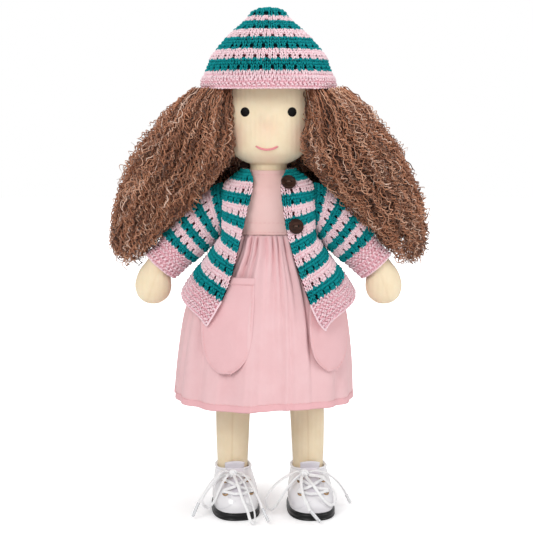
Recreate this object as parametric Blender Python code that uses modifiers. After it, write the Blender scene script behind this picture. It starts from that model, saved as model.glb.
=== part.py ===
"""A soft cloth doll with long curly hair, a knitted hat and cardigan, a gathered dress and laced shoes.

Metres, +Z up. The doll stands on the ground at z = 0 and faces -Y, so its own left side is at +X.
Its body, head, arms and legs are cotton knit skins over stuffing; the clothes are worn over them.
"""

import math

import bmesh
import bpy
from mathutils import Matrix, Vector
from mathutils.bvhtree import BVHTree

# Clearances and cloth
gap = 0.0003
overrun_length = 0.004
skin_thickness = 0.0008
knit_thickness = 0.0024
dress_thickness = 0.0009

# Head and neck
neck_height = 0.207
neck_radius = 0.011
neck_length = 0.0050
head_height = 0.080
head_width = 0.0568
head_depth = 0.0532
head_sides = 16
nose_depth = 0.0026
eye_radius = 0.0026
eye_thickness = 0.0013
eye_spacing = 0.0268
eye_rise_height = 0.036
mouth_width = 0.0126
mouth_droop_height = 0.0021
mouth_rise_height = 0.0163
mouth_thread_radius = 0.0005
mouth_points = 9

# Torso and bodice
torso_width = 0.0600
torso_depth = 0.0384
torso_sides = 16
bodice_ease_width = 0.0009
neckline_height = 0.2083
waist_height = 0.1700
armhole_radius = 0.0104
armhole_sides = 16

# Shoulders and arms
shoulder_height = 0.188
shoulder_spacing = 0.0448
arm_radius = 0.0090
arm_reach = 0.0518
arm_fall_height = 0.0614
arm_sides = 10

# Hips and legs
hip_height = 0.111
hip_spacing = 0.037
leg_radius = 0.0115
ankle_spacing = 0.0468
stance_shift_width = 0.0011
ankle_height = 0.028
foot_length = 0.036
leg_sides = 12

# Skirt and pockets
hem_height = 0.0698
skirt_half_width = 0.0536
skirt_half_depth = 0.0460
skirt_swing_width = 0.0034
fold_depth = 0.0018
fold_count = 15
points_per_fold = 4
pocket_width = 0.033
pocket_height = 0.055
pocket_top_height = 0.1465
left_pocket_reach = 0.0430
right_pocket_reach = 0.0232

# Cardigan and sleeves
collar_height = 0.2090
cardigan_side_height = 0.1350
cardigan_back_drop_height = 0.0060
cardigan_half_width = 0.0525
cardigan_half_depth = 0.0450
left_tip_height = 0.1145
right_tip_height = 0.1168
front_reach = 0.0375
cardigan_armhole_radius = 0.0133
side_seam_gap = 0.0006
sleeve_start_width = 0.0283
sleeve_radius = 0.0135
sleeve_sides = 12
button_radius = 0.0045
button_thickness = 0.0022
button_hole_radius = 0.00065
button_hole_spacing = 0.0022
button_sides = 12
button_hole_sides = 6

# Hat
hat_brim_height = 0.2565
hat_height = 0.0485
hat_radius = 0.0408
hat_wall_thickness = 0.0030
hat_sides = 20
hat_seat_gap = 0.0005

# Hair
hair_reach = 0.0940
hair_top_height = 0.2559
hair_length = 0.1049
hair_front_depth = 0.0310
hair_depth = 0.0460
hair_parting_width = 0.0201
hair_sides = 16
hair_seat_gap = 0.00045

# Shoes
sole_length = 0.050
sole_width = 0.0285
sole_thickness = 0.0042
sole_back_length = 0.0140
sole_edge_width = 0.0006
sole_points = 24
upper_thickness = 0.0010
upper_height = 0.0270
tongue_width = 0.0110
tongue_thickness = 0.0008
tongue_root_length = 0.0020
tongue_low_inset_depth = 0.0031
tongue_high_inset_depth = 0.0021
tongue_rise_height = 0.0025
tongue_fold_depth = 0.0005
throat_width = 0.0090
throat_height = 0.0140
eyelet_radius = 0.0021
eyelet_hole_radius = 0.0011
eyelet_thickness = 0.0008
eyelet_spacing_low = 0.0184
eyelet_spacing_high = 0.0168
eyelet_height_low = 0.0150
eyelet_height_high = 0.0205
eyelet_sides = 8
eyelet_seat_gap = 0.00036
left_foot_turn = math.radians(5)
right_foot_turn = math.radians(8)

# Laces
lace_radius = 0.0008
knot_radius = 0.0029
knot_sides = 10
knot_levels = 7
aglet_radius = 0.0010
aglet_length = 0.0090

doll_parts = bpy.data.collections.new("waldorf_doll")
cutters = bpy.data.collections.new("cutters")


# Tools for making soft forms

def clear_scene():
    for thing in list(bpy.data.objects):
        bpy.data.objects.remove(thing, do_unlink=True)
    bpy.context.scene.collection.children.link(doll_parts)
    bpy.context.scene.collection.children.link(cutters)


def joint_empty(name, pivot, parent=None):
    """An empty on a joint's axis, which carries the pieces of one moving body."""
    empty = bpy.data.objects.new(name, None)
    empty["pivot"] = pivot
    empty.location = pivot if parent is None else pivot - Vector(parent["pivot"])
    empty.parent = parent
    doll_parts.objects.link(empty)
    return empty


def material(name, colour, roughness, metallic=0.0):
    made = bpy.data.materials.new(name)
    made.use_nodes = True
    shader = made.node_tree.nodes["Principled BSDF"]
    shader.inputs["Base Color"].default_value = (*colour, 1.0)
    shader.inputs["Roughness"].default_value = roughness
    shader.inputs["Metallic"].default_value = metallic
    return made


def add_piece(name, mesh, body, finish, place=None):
    """Put a mesh into the doll as one named piece, with its origin on its body's joint."""
    pivot = Vector(body["pivot"])
    if place is None:
        mesh.transform(Matrix.Translation(-pivot))
    piece = bpy.data.objects.new(name, mesh)
    doll_parts.objects.link(piece)
    piece.parent = body
    if place is not None:
        piece.matrix_basis = Matrix.Translation(-pivot) @ place
    mesh.materials.append(material(name, *finish))
    mesh.shade_smooth()
    return piece


def add_cutter(name, mesh):
    cutter = bpy.data.objects.new(name, mesh)
    cutter.hide_render = True
    cutter.display_type = "WIRE"
    cutters.objects.link(cutter)
    return cutter


def cut(piece, cutter):
    boolean = piece.modifiers.new("cut", "BOOLEAN")
    boolean.operation = "DIFFERENCE"
    boolean.solver = "EXACT"
    boolean.object = cutter


def thicken(piece, thickness, offset):
    """Give an open surface its cloth thickness; offset is 1 outwards and -1 inwards."""
    shell = piece.modifiers.new("cloth", "SOLIDIFY")
    shell.thickness = thickness
    shell.offset = offset
    shell.use_even_offset = True


def lerp(a, b, share):
    return a + (b - a) * share


def read_table(table, key):
    """Read a table of (key, value, value, ...) rows, ordered by key, between its rows."""
    if key <= table[0][0]:
        return table[0][1:]
    for low, high in zip(table, table[1:]):
        if key <= high[0]:
            share = (key - low[0]) / (high[0] - low[0])
            return tuple(lerp(a, b, share) for a, b in zip(low[1:], high[1:]))
    return table[-1][1:]


def rounded_square(angle, square):
    """The unit rounded square at an angle: 2 is a circle, and larger values are squarer."""
    across = math.copysign(abs(math.cos(angle)) ** (2 / square), math.cos(angle))
    along = math.copysign(abs(math.sin(angle)) ** (2 / square), math.sin(angle))
    return across, along


def level_ring(height, half_width, half_depth, square, sides, centre_x=0.0, centre_y=0.0):
    """A closed ring of points in a level plane."""
    ring = []
    for index in range(sides):
        across, along = rounded_square(2 * math.pi * index / sides, square)
        ring.append(Vector((centre_x + half_width * across, centre_y + half_depth * along, height)))
    return ring


def limb_ring(centre, lean, half_tall, half_deep, sides):
    """A closed ring across an arm or sleeve that leaves the shoulder sideways and leans down."""
    tall = Vector((math.sin(lean), 0, math.cos(lean)))
    deep = Vector((0, 1, 0))
    ring = []
    for index in range(sides):
        angle = 2 * math.pi * index / sides
        ring.append(centre + deep * (half_deep * math.cos(angle)) + tall * (half_tall * math.sin(angle)))
    return ring


def mirrored(rings, side):
    return [[Vector((side * p.x, p.y, p.z)) for p in ring] for ring in rings]


def loft(rings, start_cap=False, end_cap=False, tip=None, closed=True, inside=None):
    """Join rings or rows of points by faces that point away from the middle of the form."""
    shape = bmesh.new()
    rows = [[shape.verts.new(p) for p in ring] for ring in rings]
    count = len(rings[0])
    steps = count if closed else count - 1
    outward = 0.0
    for index, (near, far) in enumerate(zip(rows, rows[1:])):
        middle = sum(rings[index], Vector()) / count if inside is None else inside
        for start in range(steps):
            end = (start + 1) % count
            face = shape.faces.new((near[start], near[end], far[end], far[start]))
            face.normal_update()
            away = face.calc_center_median() - middle
            if inside is not None:
                away.z = 0
            outward += away.dot(face.normal)
    if start_cap:
        shape.faces.new(list(reversed(rows[0])))
    if end_cap:
        shape.faces.new(rows[-1])
    if tip is not None:
        point = shape.verts.new(tip)
        for start in range(count):
            shape.faces.new((rows[-1][start], rows[-1][(start + 1) % count], point))
    if outward < 0:
        bmesh.ops.reverse_faces(shape, faces=shape.faces[:])
    return to_mesh(shape)


def to_mesh(shape):
    mesh = bpy.data.meshes.new("form")
    shape.to_mesh(mesh)
    shape.free()
    return mesh


def swell(mesh, distance):
    """Move every point of a mesh along its own normal, as one layer lies over another."""
    shape = bmesh.new()
    shape.from_mesh(mesh)
    shape.normal_update()
    moves = [(point, point.normal * distance * point.calc_shell_factor()) for point in shape.verts]
    for point, move in moves:
        point.co += move
    return to_mesh(shape)


def stuffed_form(name, body, rings, tip, finish):
    """A skin that is open at the first ring, and the stuffing that fills it."""
    skin = add_piece(name + "_skin", loft(rings, tip=tip), body, finish)
    thicken(skin, skin_thickness, -1)
    inner = swell(loft(rings, tip=tip), -(skin_thickness + gap))
    shape = bmesh.new()
    shape.from_mesh(inner)
    rim = [edge for edge in shape.edges if edge.is_boundary]
    bmesh.ops.contextual_create(shape, geom=rim)
    bmesh.ops.recalc_face_normals(shape, faces=shape.faces[:])
    stuffing = to_mesh(shape)
    add_piece(name + "_stuffing", stuffing, body, ((0.93, 0.90, 0.82), 0.95))
    return skin


def turned(profile, steps):
    """A solid or shell turned round the Z axis from a profile of (radius, height) points."""
    outline = bpy.data.meshes.new("profile")
    points = [(radius, 0, height) for radius, height in profile]
    outline.from_pydata(points, [(i, i + 1) for i in range(len(points) - 1)], [])
    holder = bpy.data.objects.new("profile", outline)
    cutters.objects.link(holder)
    screw = holder.modifiers.new("turn", "SCREW")
    screw.steps = steps
    screw.render_steps = steps
    screw.use_merge_vertices = True
    screw.merge_threshold = gap / 30
    mesh = bpy.data.meshes.new_from_object(holder.evaluated_get(evaluated_scene()))
    bpy.data.objects.remove(holder, do_unlink=True)
    return mesh


def evaluated_scene():
    bpy.context.view_layer.update()
    return bpy.context.evaluated_depsgraph_get()


def surface_of(piece):
    return BVHTree.FromObject(piece, evaluated_scene()), piece.matrix_world.copy()


def touch(surface, x, z):
    """Where a straight way in from the front meets a piece, and the way its surface faces there."""
    tree, world = surface
    start = world.inverted() @ Vector((x, -hair_reach, z))
    place, normal, _, _ = tree.ray_cast(start, Vector((0, 1, 0)))
    return world @ place, world.to_3x3() @ normal


def facing(place, normal, lift):
    """A frame whose Z axis points along a surface's normal, lifted off it."""
    turn = normal.to_track_quat("Z", "Y").to_matrix().to_4x4()
    return Matrix.Translation(place + normal * lift) @ turn


def tube(points, radius, resolution=2):
    """A round cord along a list of points, as a mesh with closed ends."""
    line = bpy.data.curves.new("cord", "CURVE")
    line.dimensions = "3D"
    line.bevel_depth = radius
    line.bevel_resolution = resolution
    line.use_fill_caps = True
    spline = line.splines.new("POLY")
    spline.points.add(len(points) - 1)
    for knot, point in zip(spline.points, points):
        knot.co = (*point, 1)
    return line


def smooth_route(points, spacing):
    """Points read at even steps from a smooth curve through a route's own points."""
    route = [Vector(p) for p in points]
    dense = []
    for index in range(len(route) - 1):
        before = route[max(index - 1, 0)]
        start, end = route[index], route[index + 1]
        after = route[min(index + 2, len(route) - 1)]
        for step in range(12):
            t = step / 12
            dense.append(0.5 * ((2 * start) + (end - before) * t
                                + (2 * before - 5 * start + 4 * end - after) * t ** 2
                                + (3 * start - before - 3 * end + after) * t ** 3))
    dense.append(route[-1])
    travelled = [0.0]
    for a, b in zip(dense, dense[1:]):
        travelled.append(travelled[-1] + (b - a).length)
    count = max(2, round(travelled[-1] / spacing))
    even = []
    for step in range(count + 1):
        target = travelled[-1] * step / count
        index = next((i for i in range(1, len(dense)) if travelled[i] >= target), len(dense) - 1)
        length = travelled[index] - travelled[index - 1]
        share = (target - travelled[index - 1]) / length
        even.append(dense[index - 1].lerp(dense[index], min(max(share, 0), 1)))
    return even


# The finishes: colour, roughness, metallic
skin_finish = ((0.90, 0.80, 0.62), 0.85)
pink_cotton = ((0.93, 0.66, 0.68), 0.8)
teal_yarn = ((0.02, 0.36, 0.37), 0.9)
hair_finish = ((0.34, 0.20, 0.13), 0.7)
black_enamel = ((0.01, 0.01, 0.01), 0.35)
lip_thread = ((0.78, 0.38, 0.33), 0.7)
dark_wood = ((0.09, 0.05, 0.035), 0.45)
white_patent = ((0.86, 0.86, 0.88), 0.12)
black_rubber = ((0.012, 0.012, 0.013), 0.5)
brass = ((0.60, 0.42, 0.22), 0.3, 1.0)
lace_white = ((0.92, 0.92, 0.92), 0.8)
clear_plastic = ((0.85, 0.86, 0.88), 0.2)


# Head

# Height, width, depth and forward shift, as shares of the head's height, half width and half depth.
head_section_shares = (
    (0.075, 0.440, 0.470, 0.00),
    (0.106, 0.567, 0.610, 0.00),
    (0.150, 0.745, 0.790, -0.02),
    (0.215, 0.868, 0.905, -0.04),
    (0.312, 0.945, 0.960, -0.03),
    (0.412, 0.986, 0.985, -0.02),
    (0.538, 1.000, 1.000, 0.00),
    (0.688, 0.951, 0.990, 0.02),
    (0.812, 0.827, 0.890, 0.02),
    (0.912, 0.600, 0.660, 0.02),
    (0.975, 0.310, 0.350, 0.02),
)
head_square = 2.15
nose_section = 5

# Radius and height of an eye's section, from the middle of its front round to its back.
eye_profile_shares = ((0, 1), (0.62, 0.85), (1, 0.35), (0.9, 0), (0, 0))


def head_rings():
    rings = [level_ring(neck_height, neck_radius, neck_radius, 2, head_sides),
             level_ring(neck_height + neck_length, neck_radius, neck_radius, 2, head_sides)]
    for height, width, depth, shift in head_section_shares:
        ring = level_ring(neck_height + head_height * height, head_width / 2 * width,
                          head_depth / 2 * depth, head_square, head_sides,
                          centre_y=head_depth / 2 * shift)
        rings.append(ring)
    nose = rings[2 + nose_section][head_sides * 3 // 4]
    nose.y -= nose_depth
    return rings


def make_head(head):
    crown = Vector((0, 0, neck_height + head_height))
    skin = stuffed_form("head", head, head_rings(), crown, skin_finish)
    face = surface_of(skin)
    profile = [(eye_radius * out, eye_thickness * up) for out, up in eye_profile_shares]
    for name, side in (("left_eye", 1), ("right_eye", -1)):
        place, normal = touch(face, side * eye_spacing / 2, neck_height + eye_rise_height)
        add_piece(name, turned(profile, button_sides), head, black_enamel, facing(place, normal, gap))
    smile = []
    for step in range(mouth_points):
        across = 2 * step / (mouth_points - 1) - 1
        x = across * mouth_width / 2
        z = neck_height + mouth_rise_height - mouth_droop_height * (1 - across ** 2)
        place, normal = touch(face, x, z)
        smile.append(place + normal * (mouth_thread_radius + gap))
    add_cord("mouth_stitch", smile, mouth_thread_radius, head, lip_thread)


def add_cord(name, points, radius, body, finish):
    """A cord, lace or thread as a curve object, kept a curve so that it can be re-laid."""
    pivot = Vector(body["pivot"])
    line = tube([p - pivot for p in points], radius)
    piece = bpy.data.objects.new(name, line)
    doll_parts.objects.link(piece)
    piece.parent = body
    line.materials.append(material(name, *finish))
    return piece


# Torso

# Height up the torso, half width, half depth and squareness, from its flat seat to its neck seam.
torso_section_shares = (
    (0.000, 0.740, 0.830, 2.4),
    (0.040, 0.930, 0.960, 2.4),
    (0.120, 1.000, 1.000, 2.4),
    (0.260, 0.900, 0.990, 2.4),
    (0.440, 0.767, 0.958, 2.4),
    (0.600, 0.735, 0.930, 2.6),
    (0.750, 0.733, 0.896, 3.0),
    (0.838, 0.727, 0.844, 3.0),
    (0.896, 0.685, 0.770, 3.0),
    (0.938, 0.550, 0.677, 2.4),
    (0.968, 0.417, 0.615, 2.0),
)


def torso_rows():
    """The torso's sections as (height, half width, half depth, squareness), from seat to neck."""
    seat = hip_height + leg_radius + gap
    top = neck_height - gap
    rows = [(lerp(seat, top, share), torso_width / 2 * width, torso_depth / 2 * depth, square)
            for share, width, depth, square in torso_section_shares]
    return [*rows, (top, neck_radius, neck_radius, 2.0)]


def make_torso(torso):
    rows = torso_rows()
    rings = [level_ring(*row, torso_sides) for row in reversed(rows)]
    stuffed_form("torso", torso, rings, Vector((0, 0, rows[0][0])), skin_finish)


# Arms

# Reach, drop, lean in degrees, then half height and half depth, along an arm from its shoulder.
arm_section_shares = (
    (0.000, 0.000, 0, 0.955, 0.955),
    (0.079, 0.013, 18, 0.975, 0.975),
    (0.170, 0.052, 34, 0.965, 0.985),
    (0.263, 0.128, 45, 0.900, 0.960),
    (0.420, 0.265, 48, 0.970, 0.970),
    (0.595, 0.420, 49, 0.915, 0.915),
    (0.720, 0.531, 50, 0.900, 0.890),
    (0.842, 0.622, 50, 0.911, 0.890),
    (0.867, 0.678, 56, 1.044, 0.930),
    (0.905, 0.765, 62, 1.240, 0.960),
    (0.948, 0.871, 68, 1.200, 0.930),
    (0.983, 0.953, 70, 0.840, 0.690),
)


def shoulder_point():
    return Vector((shoulder_spacing / 2, 0, shoulder_height))


def make_arm(name, body, side):
    root = shoulder_point()
    rings = []
    for reach, drop, lean, tall, deep in arm_section_shares:
        centre = root + Vector((arm_reach * reach, 0, -arm_fall_height * drop))
        rings.append(limb_ring(centre, math.radians(lean), arm_radius * tall, arm_radius * deep, arm_sides))
    tip = root + Vector((arm_reach, 0, -arm_fall_height))
    tip.x *= side
    stuffed_form(name, body, mirrored(rings, side), tip, skin_finish)


# Legs

# Height above the ankle towards the hip, outward shift from hip to ankle, and radius.
leg_section_shares = (
    (0.800, 0.320, 0.975),
    (0.590, 0.640, 0.925),
    (0.373, 0.900, 0.887),
    (0.150, 0.980, 0.850),
    (0.000, 1.000, 0.818),
)
dome_angle_shares = (0.88, 0.6, 0.3, 0.0)

# Height of the foot below the ankle, half width, half length and forward shift.
foot_section_shares = (
    (0.780, 0.835, 0.290, -0.022),
    (0.540, 0.850, 0.416, -0.153),
    (0.320, 0.835, 0.500, -0.236),
    (0.215, 0.740, 0.445, -0.236),
)


def leg_foot(side):
    return Vector((side * ankle_spacing / 2 + stance_shift_width, 0, 0))


def leg_rings(side, turn):
    hip = Vector((side * hip_spacing / 2, 0, hip_height))
    foot = leg_foot(side)
    rings = []
    for share in dome_angle_shares:
        angle = share * math.pi / 2
        rings.append(level_ring(hip_height + leg_radius * math.sin(angle), leg_radius * math.cos(angle),
                                leg_radius * math.cos(angle), 2, leg_sides, centre_x=hip.x))
    for height, shift, radius in leg_section_shares:
        rings.append(level_ring(lerp(ankle_height, hip_height, height), leg_radius * radius,
                                leg_radius * radius, 2, leg_sides, centre_x=lerp(hip.x, foot.x, shift)))
    swivel = Matrix.Translation(foot) @ Matrix.Rotation(turn, 4, "Z")
    for height, width, length, shift in foot_section_shares:
        ring = level_ring(ankle_height * height, leg_radius * width, foot_length * length, 2.2, leg_sides,
                          centre_y=foot_length * shift)
        rings.append([swivel @ p for p in ring])
    return rings


def make_leg(name, body, side, turn):
    rings = leg_rings(side, turn)
    lowest = rings[-1]
    tip = sum(lowest, Vector()) / len(lowest)
    tip.z -= skin_thickness
    stuffed_form(name, body, rings, tip, skin_finish)


# Hat

# Radius and height of the knitted hat's outer side, from its rolled brim to its top.
hat_profile_shares = (
    (1.000, 0.000),
    (0.990, 0.100),
    (0.917, 0.221),
    (0.843, 0.390),
    (0.762, 0.476),
    (0.645, 0.598),
    (0.512, 0.707),
    (0.380, 0.804),
    (0.292, 0.876),
    (0.235, 0.940),
    (0.120, 0.985),
)


def hat_profile():
    """The hat's outer side as (radius, height) points, from the brim up."""
    return [(hat_radius * radius, hat_brim_height + hat_height * share)
            for radius, share in hat_profile_shares]


def hat_lining(clear):
    """The hat's profile moved inwards by a distance, for what fills the hat."""
    rows = hat_profile()
    lining = []
    for index, (radius, height) in enumerate(rows):
        before = rows[max(index - 1, 0)]
        after = rows[min(index + 1, len(rows) - 1)]
        slope = Vector((after[0] - before[0], after[1] - before[1])).normalized()
        flat = math.cos(math.pi / hat_sides)
        lining.append(((radius - clear * slope.y) * flat, height + clear * slope.x))
    return lining


def make_hat(hat):
    profile = [(0, hat_brim_height + hat_height), *reversed(hat_profile())]
    knitted = add_piece("knitted_hat", turned(profile, hat_sides), hat, teal_yarn)
    thicken(knitted, hat_wall_thickness, -1)


# Hair

# Height down from the hair's top, then inner edge, outer edge, front and back of a side mass.
side_hair_shares = (
    (0.000, 0.215, 0.470, -0.81, 0.58),
    (0.055, 0.215, 0.550, -0.90, 0.62),
    (0.150, 0.215, 0.650, -0.97, 0.66),
    (0.265, 0.218, 0.745, -1.00, 0.68),
    (0.380, 0.252, 0.835, -1.00, 0.69),
    (0.465, 0.352, 0.885, -0.90, 0.70),
    (0.580, 0.484, 0.937, -0.71, 0.72),
    (0.675, 0.565, 0.973, -0.58, 0.72),
    (0.770, 0.655, 0.995, -0.45, 0.70),
    (0.866, 0.740, 1.000, -0.32, 0.64),
    (0.942, 0.820, 0.980, -0.19, 0.56),
    (1.000, 0.852, 0.935, 0.00, 0.44),
)
side_hair_square = 2.8

# Height down from the hair's top, half width share, front and back of the mass behind the doll.
back_hair_shares = (
    (1.000, 0.420, 0.780, 0.910),
    (0.933, 0.610, 0.755, 0.940),
    (0.860, 0.700, 0.735, 0.950),
    (0.770, 0.650, 0.710, 0.960),
    (0.675, 0.560, 0.680, 0.950),
    (0.580, 0.478, 0.640, 0.930),
    (0.475, 0.355, 0.560, 0.900),
    (0.430, 0.300, 0.330, 0.880),
    (0.380, 0.208, 0.180, 0.850),
    (0.265, 0.208, 0.000, 0.820),
    (0.150, 0.208, 0.000, 0.780),
    (0.000, 0.208, 0.000, 0.690),
)
cap_rows = 7


def hair_height(share):
    return hair_top_height - hair_length * share


def head_clearance():
    """The head's own form, a little larger, which the hair is shaped to."""
    rings = head_rings()
    crown = Vector((0, 0, neck_height + head_height))
    form = swell(loft(rings, start_cap=True, tip=crown), hair_seat_gap)
    return add_cutter("head_clearance", form)


def make_hair(head):
    clearance = head_clearance()
    for name, side in (("hair_left", 1), ("hair_right", -1)):
        rings = []
        for down, inner, outer, front, back in side_hair_shares:
            low_y = hair_front_depth * front
            high_y = hair_depth * back
            inner_x = max(hair_reach * inner, hair_parting_width)
            outer_x = hair_reach * outer
            rings.append(level_ring(hair_height(down), (outer_x - inner_x) / 2, (high_y - low_y) / 2,
                                    side_hair_square, hair_sides, centre_x=(outer_x + inner_x) / 2,
                                    centre_y=(high_y + low_y) / 2))
        lock = add_piece(name, loft(mirrored(rings, side), start_cap=True, end_cap=True), head, hair_finish)
        cut(lock, clearance)
    rings = []
    for down, width, front, back in back_hair_shares:
        low_y = hair_depth * front
        high_y = hair_depth * back
        half_width = hair_reach * width
        if width == back_hair_shares[-1][1]:
            half_width = hair_parting_width - gap
        rings.append(level_ring(hair_height(down), half_width, (high_y - low_y) / 2, side_hair_square,
                                hair_sides, centre_y=(high_y + low_y) / 2))
    for radius, height in hat_lining(hat_wall_thickness + hat_seat_gap)[1:1 + cap_rows]:
        rings.append(level_ring(height, radius, radius, 2, hair_sides))
    back = add_piece("hair_back", loft(rings, start_cap=True, end_cap=True), head, hair_finish)
    cut(back, clearance)


# Dress bodice

def make_bodice(torso):
    lowest = waist_height + gap
    torso_sections = torso_rows()
    heights = [row[0] for row in reversed(torso_sections) if row[0] > lowest + gap]
    rings = []
    for height in [neckline_height, *heights, lowest]:
        half_width, half_depth, square = read_table(torso_sections, height)
        rings.append(level_ring(height, half_width + bodice_ease_width, half_depth + bodice_ease_width,
                                square, torso_sides))
    bodice = add_piece("bodice", loft(rings), torso, pink_cotton)
    thicken(bodice, dress_thickness - gap, 1)
    cut(bodice, armhole_cutter("bodice_armholes", armhole_radius))


def armhole_cutter(name, radius):
    """A round bar through both shoulders on the axis that the arms swing about."""
    shape = bmesh.new()
    bmesh.ops.create_cone(shape, cap_ends=True, segments=armhole_sides, radius1=radius, radius2=radius,
                          depth=torso_width + 2 * overrun_length)
    mesh = to_mesh(shape)
    mesh.transform(Matrix.Translation((0, 0, shoulder_height)) @ Matrix.Rotation(math.pi / 2, 4, "Y"))
    return add_cutter(name, mesh)


# Skirt

# Height down from the waist, half width, half depth, sideways swing and fold depth.
skirt_section_shares = (
    (0.000, 0.446, 0.426, 0.00, 0.20),
    (0.010, 0.446, 0.426, 0.00, 0.20),
    (0.098, 0.519, 0.511, 0.00, 0.55),
    (0.178, 0.616, 0.587, 0.12, 0.75),
    (0.300, 0.756, 0.696, 0.30, 0.90),
    (0.480, 0.886, 0.815, 0.60, 1.00),
    (0.750, 0.963, 0.924, 0.78, 1.00),
    (1.000, 1.000, 1.000, 1.00, 0.90),
)
skirt_square = 2.3


def skirt_section(height):
    """Half width, half depth, swing and fold depth of the skirt's inner side at a height."""
    rows = [(lerp(waist_height, hem_height, down), skirt_half_width * width, skirt_half_depth * depth,
             -skirt_swing_width * swing, fold_depth * fold)
            for down, width, depth, swing, fold in reversed(skirt_section_shares)]
    return read_table(rows, height)


def skirt_ring(height):
    half_width, half_depth, swing, fold = skirt_section(height)
    sides = fold_count * points_per_fold
    ring = level_ring(height, half_width, half_depth, skirt_square, sides, centre_x=swing)
    for index, point in enumerate(ring):
        wave = fold * math.cos(2 * math.pi * index / points_per_fold)
        outward = Vector((point.x - swing, point.y, 0)).normalized()
        point += outward * wave
    return ring


def make_skirt(skirt_body):
    heights = [lerp(waist_height, hem_height, row[0]) for row in skirt_section_shares]
    skirt = add_piece("skirt", loft([skirt_ring(height) for height in heights]), skirt_body, pink_cotton)
    thicken(skirt, dress_thickness, 1)
    make_pockets(skirt_body)


# Height down a pocket and its half width there.
pocket_shares = ((0.0, 0.97), (0.118, 0.98), (0.28, 1.0), (0.445, 1.0), (0.62, 0.97), (0.80, 0.84),
                 (0.92, 0.58), (1.0, 0.22))
pocket_column_shares = (0.0, 0.2, 0.4, 0.6, 0.8, 1.0)
skirt_walk_steps = 60
skirt_walk_turn = 0.75 * math.pi


def over_skirt(side, reach, height):
    """A point on the cloth over the skirt's folds, as far round it from the front middle as the reach."""
    half_width, half_depth, swing, fold = skirt_section(height)
    ease = dress_thickness + fold + 2 * gap
    walked = 0
    before = Vector((swing, -(half_depth + ease), height))
    for step in range(1, skirt_walk_steps + 1):
        turn = skirt_walk_turn * step / skirt_walk_steps
        across = math.sin(turn) ** (2 / skirt_square)
        along = math.copysign(abs(math.cos(turn)) ** (2 / skirt_square), math.cos(turn))
        point = Vector((swing + side * (half_width + ease) * across, -(half_depth + ease) * along, height))
        stretch = (point - before).length
        if walked + stretch >= reach:
            return before.lerp(point, (reach - walked) / stretch)
        walked += stretch
        before = point
    return before


def make_pockets(skirt_body):
    for name, side, reach in (("left_pocket", 1, left_pocket_reach), ("right_pocket", -1, right_pocket_reach)):
        rows = []
        for down, width in pocket_shares:
            height = pocket_top_height - pocket_height * down
            inner, outer = reach - pocket_width / 2 * width, reach + pocket_width / 2 * width
            rows.append([over_skirt(side, lerp(inner, outer, share), height)
                         for share in pocket_column_shares])
        pocket = add_piece(name, loft(rows, closed=False, inside=Vector()), skirt_body, pink_cotton)
        thicken(pocket, dress_thickness, 1)


# Cardigan

# Height from the hem tips to the collar, half width, half depth and squareness of its outer side.
cardigan_section_shares = (
    (0.000, 1.060, 1.045, 2.3),
    (0.150, 1.045, 0.990, 2.3),
    (0.230, 0.990, 0.920, 2.3),
    (0.320, 0.885, 0.838, 2.4),
    (0.400, 0.760, 0.755, 2.6),
    (0.485, 0.650, 0.665, 2.9),
    (0.540, 0.590, 0.630, 3.2),
    (0.590, 0.533, 0.605, 3.6),
    (0.700, 0.533, 0.556, 4.0),
    (0.780, 0.533, 0.530, 4.0),
    (0.850, 0.531, 0.495, 3.6),
    (0.905, 0.505, 0.450, 3.0),
    (0.945, 0.420, 0.410, 2.5),
    (0.978, 0.345, 0.385, 2.2),
    (1.000, 0.300, 0.352, 2.0),
)

# Height from the hem tip to the collar, and distance of a front edge from the middle.
left_edge_shares = ((0.00, 0.96), (0.085, 0.775), (0.325, 0.525), (0.570, 0.320),
                    (0.725, 0.243), (0.910, 0.195), (1.00, 0.288))
right_edge_shares = ((0.00, 1.06), (0.025, 0.975), (0.280, 0.635), (0.560, 0.448),
                     (0.720, 0.352), (0.910, 0.243), (1.00, 0.307))
front_row_shares = (0.0, 0.045, 0.10, 0.19, 0.31, 0.42, 0.52, 0.62, 0.74, 0.87, 1.0)
front_column_shares = (0.0, 0.2, 0.4, 0.6, 0.8, 0.965, 1.0)
back_column_shares = (0.0, 0.018, 0.10, 0.21, 0.35, 0.5, 0.65, 0.79, 0.90, 0.982, 1.0)
hem_rise_power = 0.6


def cardigan_section(height):
    lowest = min(left_tip_height, right_tip_height)
    rows = [(lerp(lowest, collar_height, up), cardigan_half_width * width, cardigan_half_depth * depth,
             square)
            for up, width, depth, square in cardigan_section_shares]
    return read_table(rows, height)


def cardigan_point(height, angle):
    half_width, half_depth, square = cardigan_section(height)
    across, along = rounded_square(angle, square)
    return Vector((half_width * across, half_depth * along, height))


def seam_angle(height):
    """The angle of a side seam, half a gap away from the middle of the side."""
    half_depth, square = cardigan_section(height)[1:]
    return math.asin((side_seam_gap / 2 / half_depth) ** (square / 2))


def edge_angle(height, edge_x):
    half_width, _, square = cardigan_section(height)
    return math.acos(min(edge_x / half_width, 1) ** (square / 2))


def make_cardigan_front(name, torso, side, tip_height, edge_shares):
    rows = []
    edges = [(lerp(tip_height, collar_height, up), front_reach * out) for up, out in edge_shares]
    for down in front_row_shares:
        row = []
        for column in front_column_shares:
            bottom = lerp(tip_height, cardigan_side_height, column ** hem_rise_power)
            height = lerp(collar_height, bottom, down)
            front = edge_angle(height, read_table(edges, height)[0])
            angle = -lerp(front, seam_angle(height), column)
            point = cardigan_point(height, angle)
            row.append(Vector((side * point.x, point.y, point.z)))
        rows.append(row)
    front = add_piece(name, loft(rows, closed=False, inside=Vector()), torso, teal_yarn)
    thicken(front, knit_thickness, -1)
    return front


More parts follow.
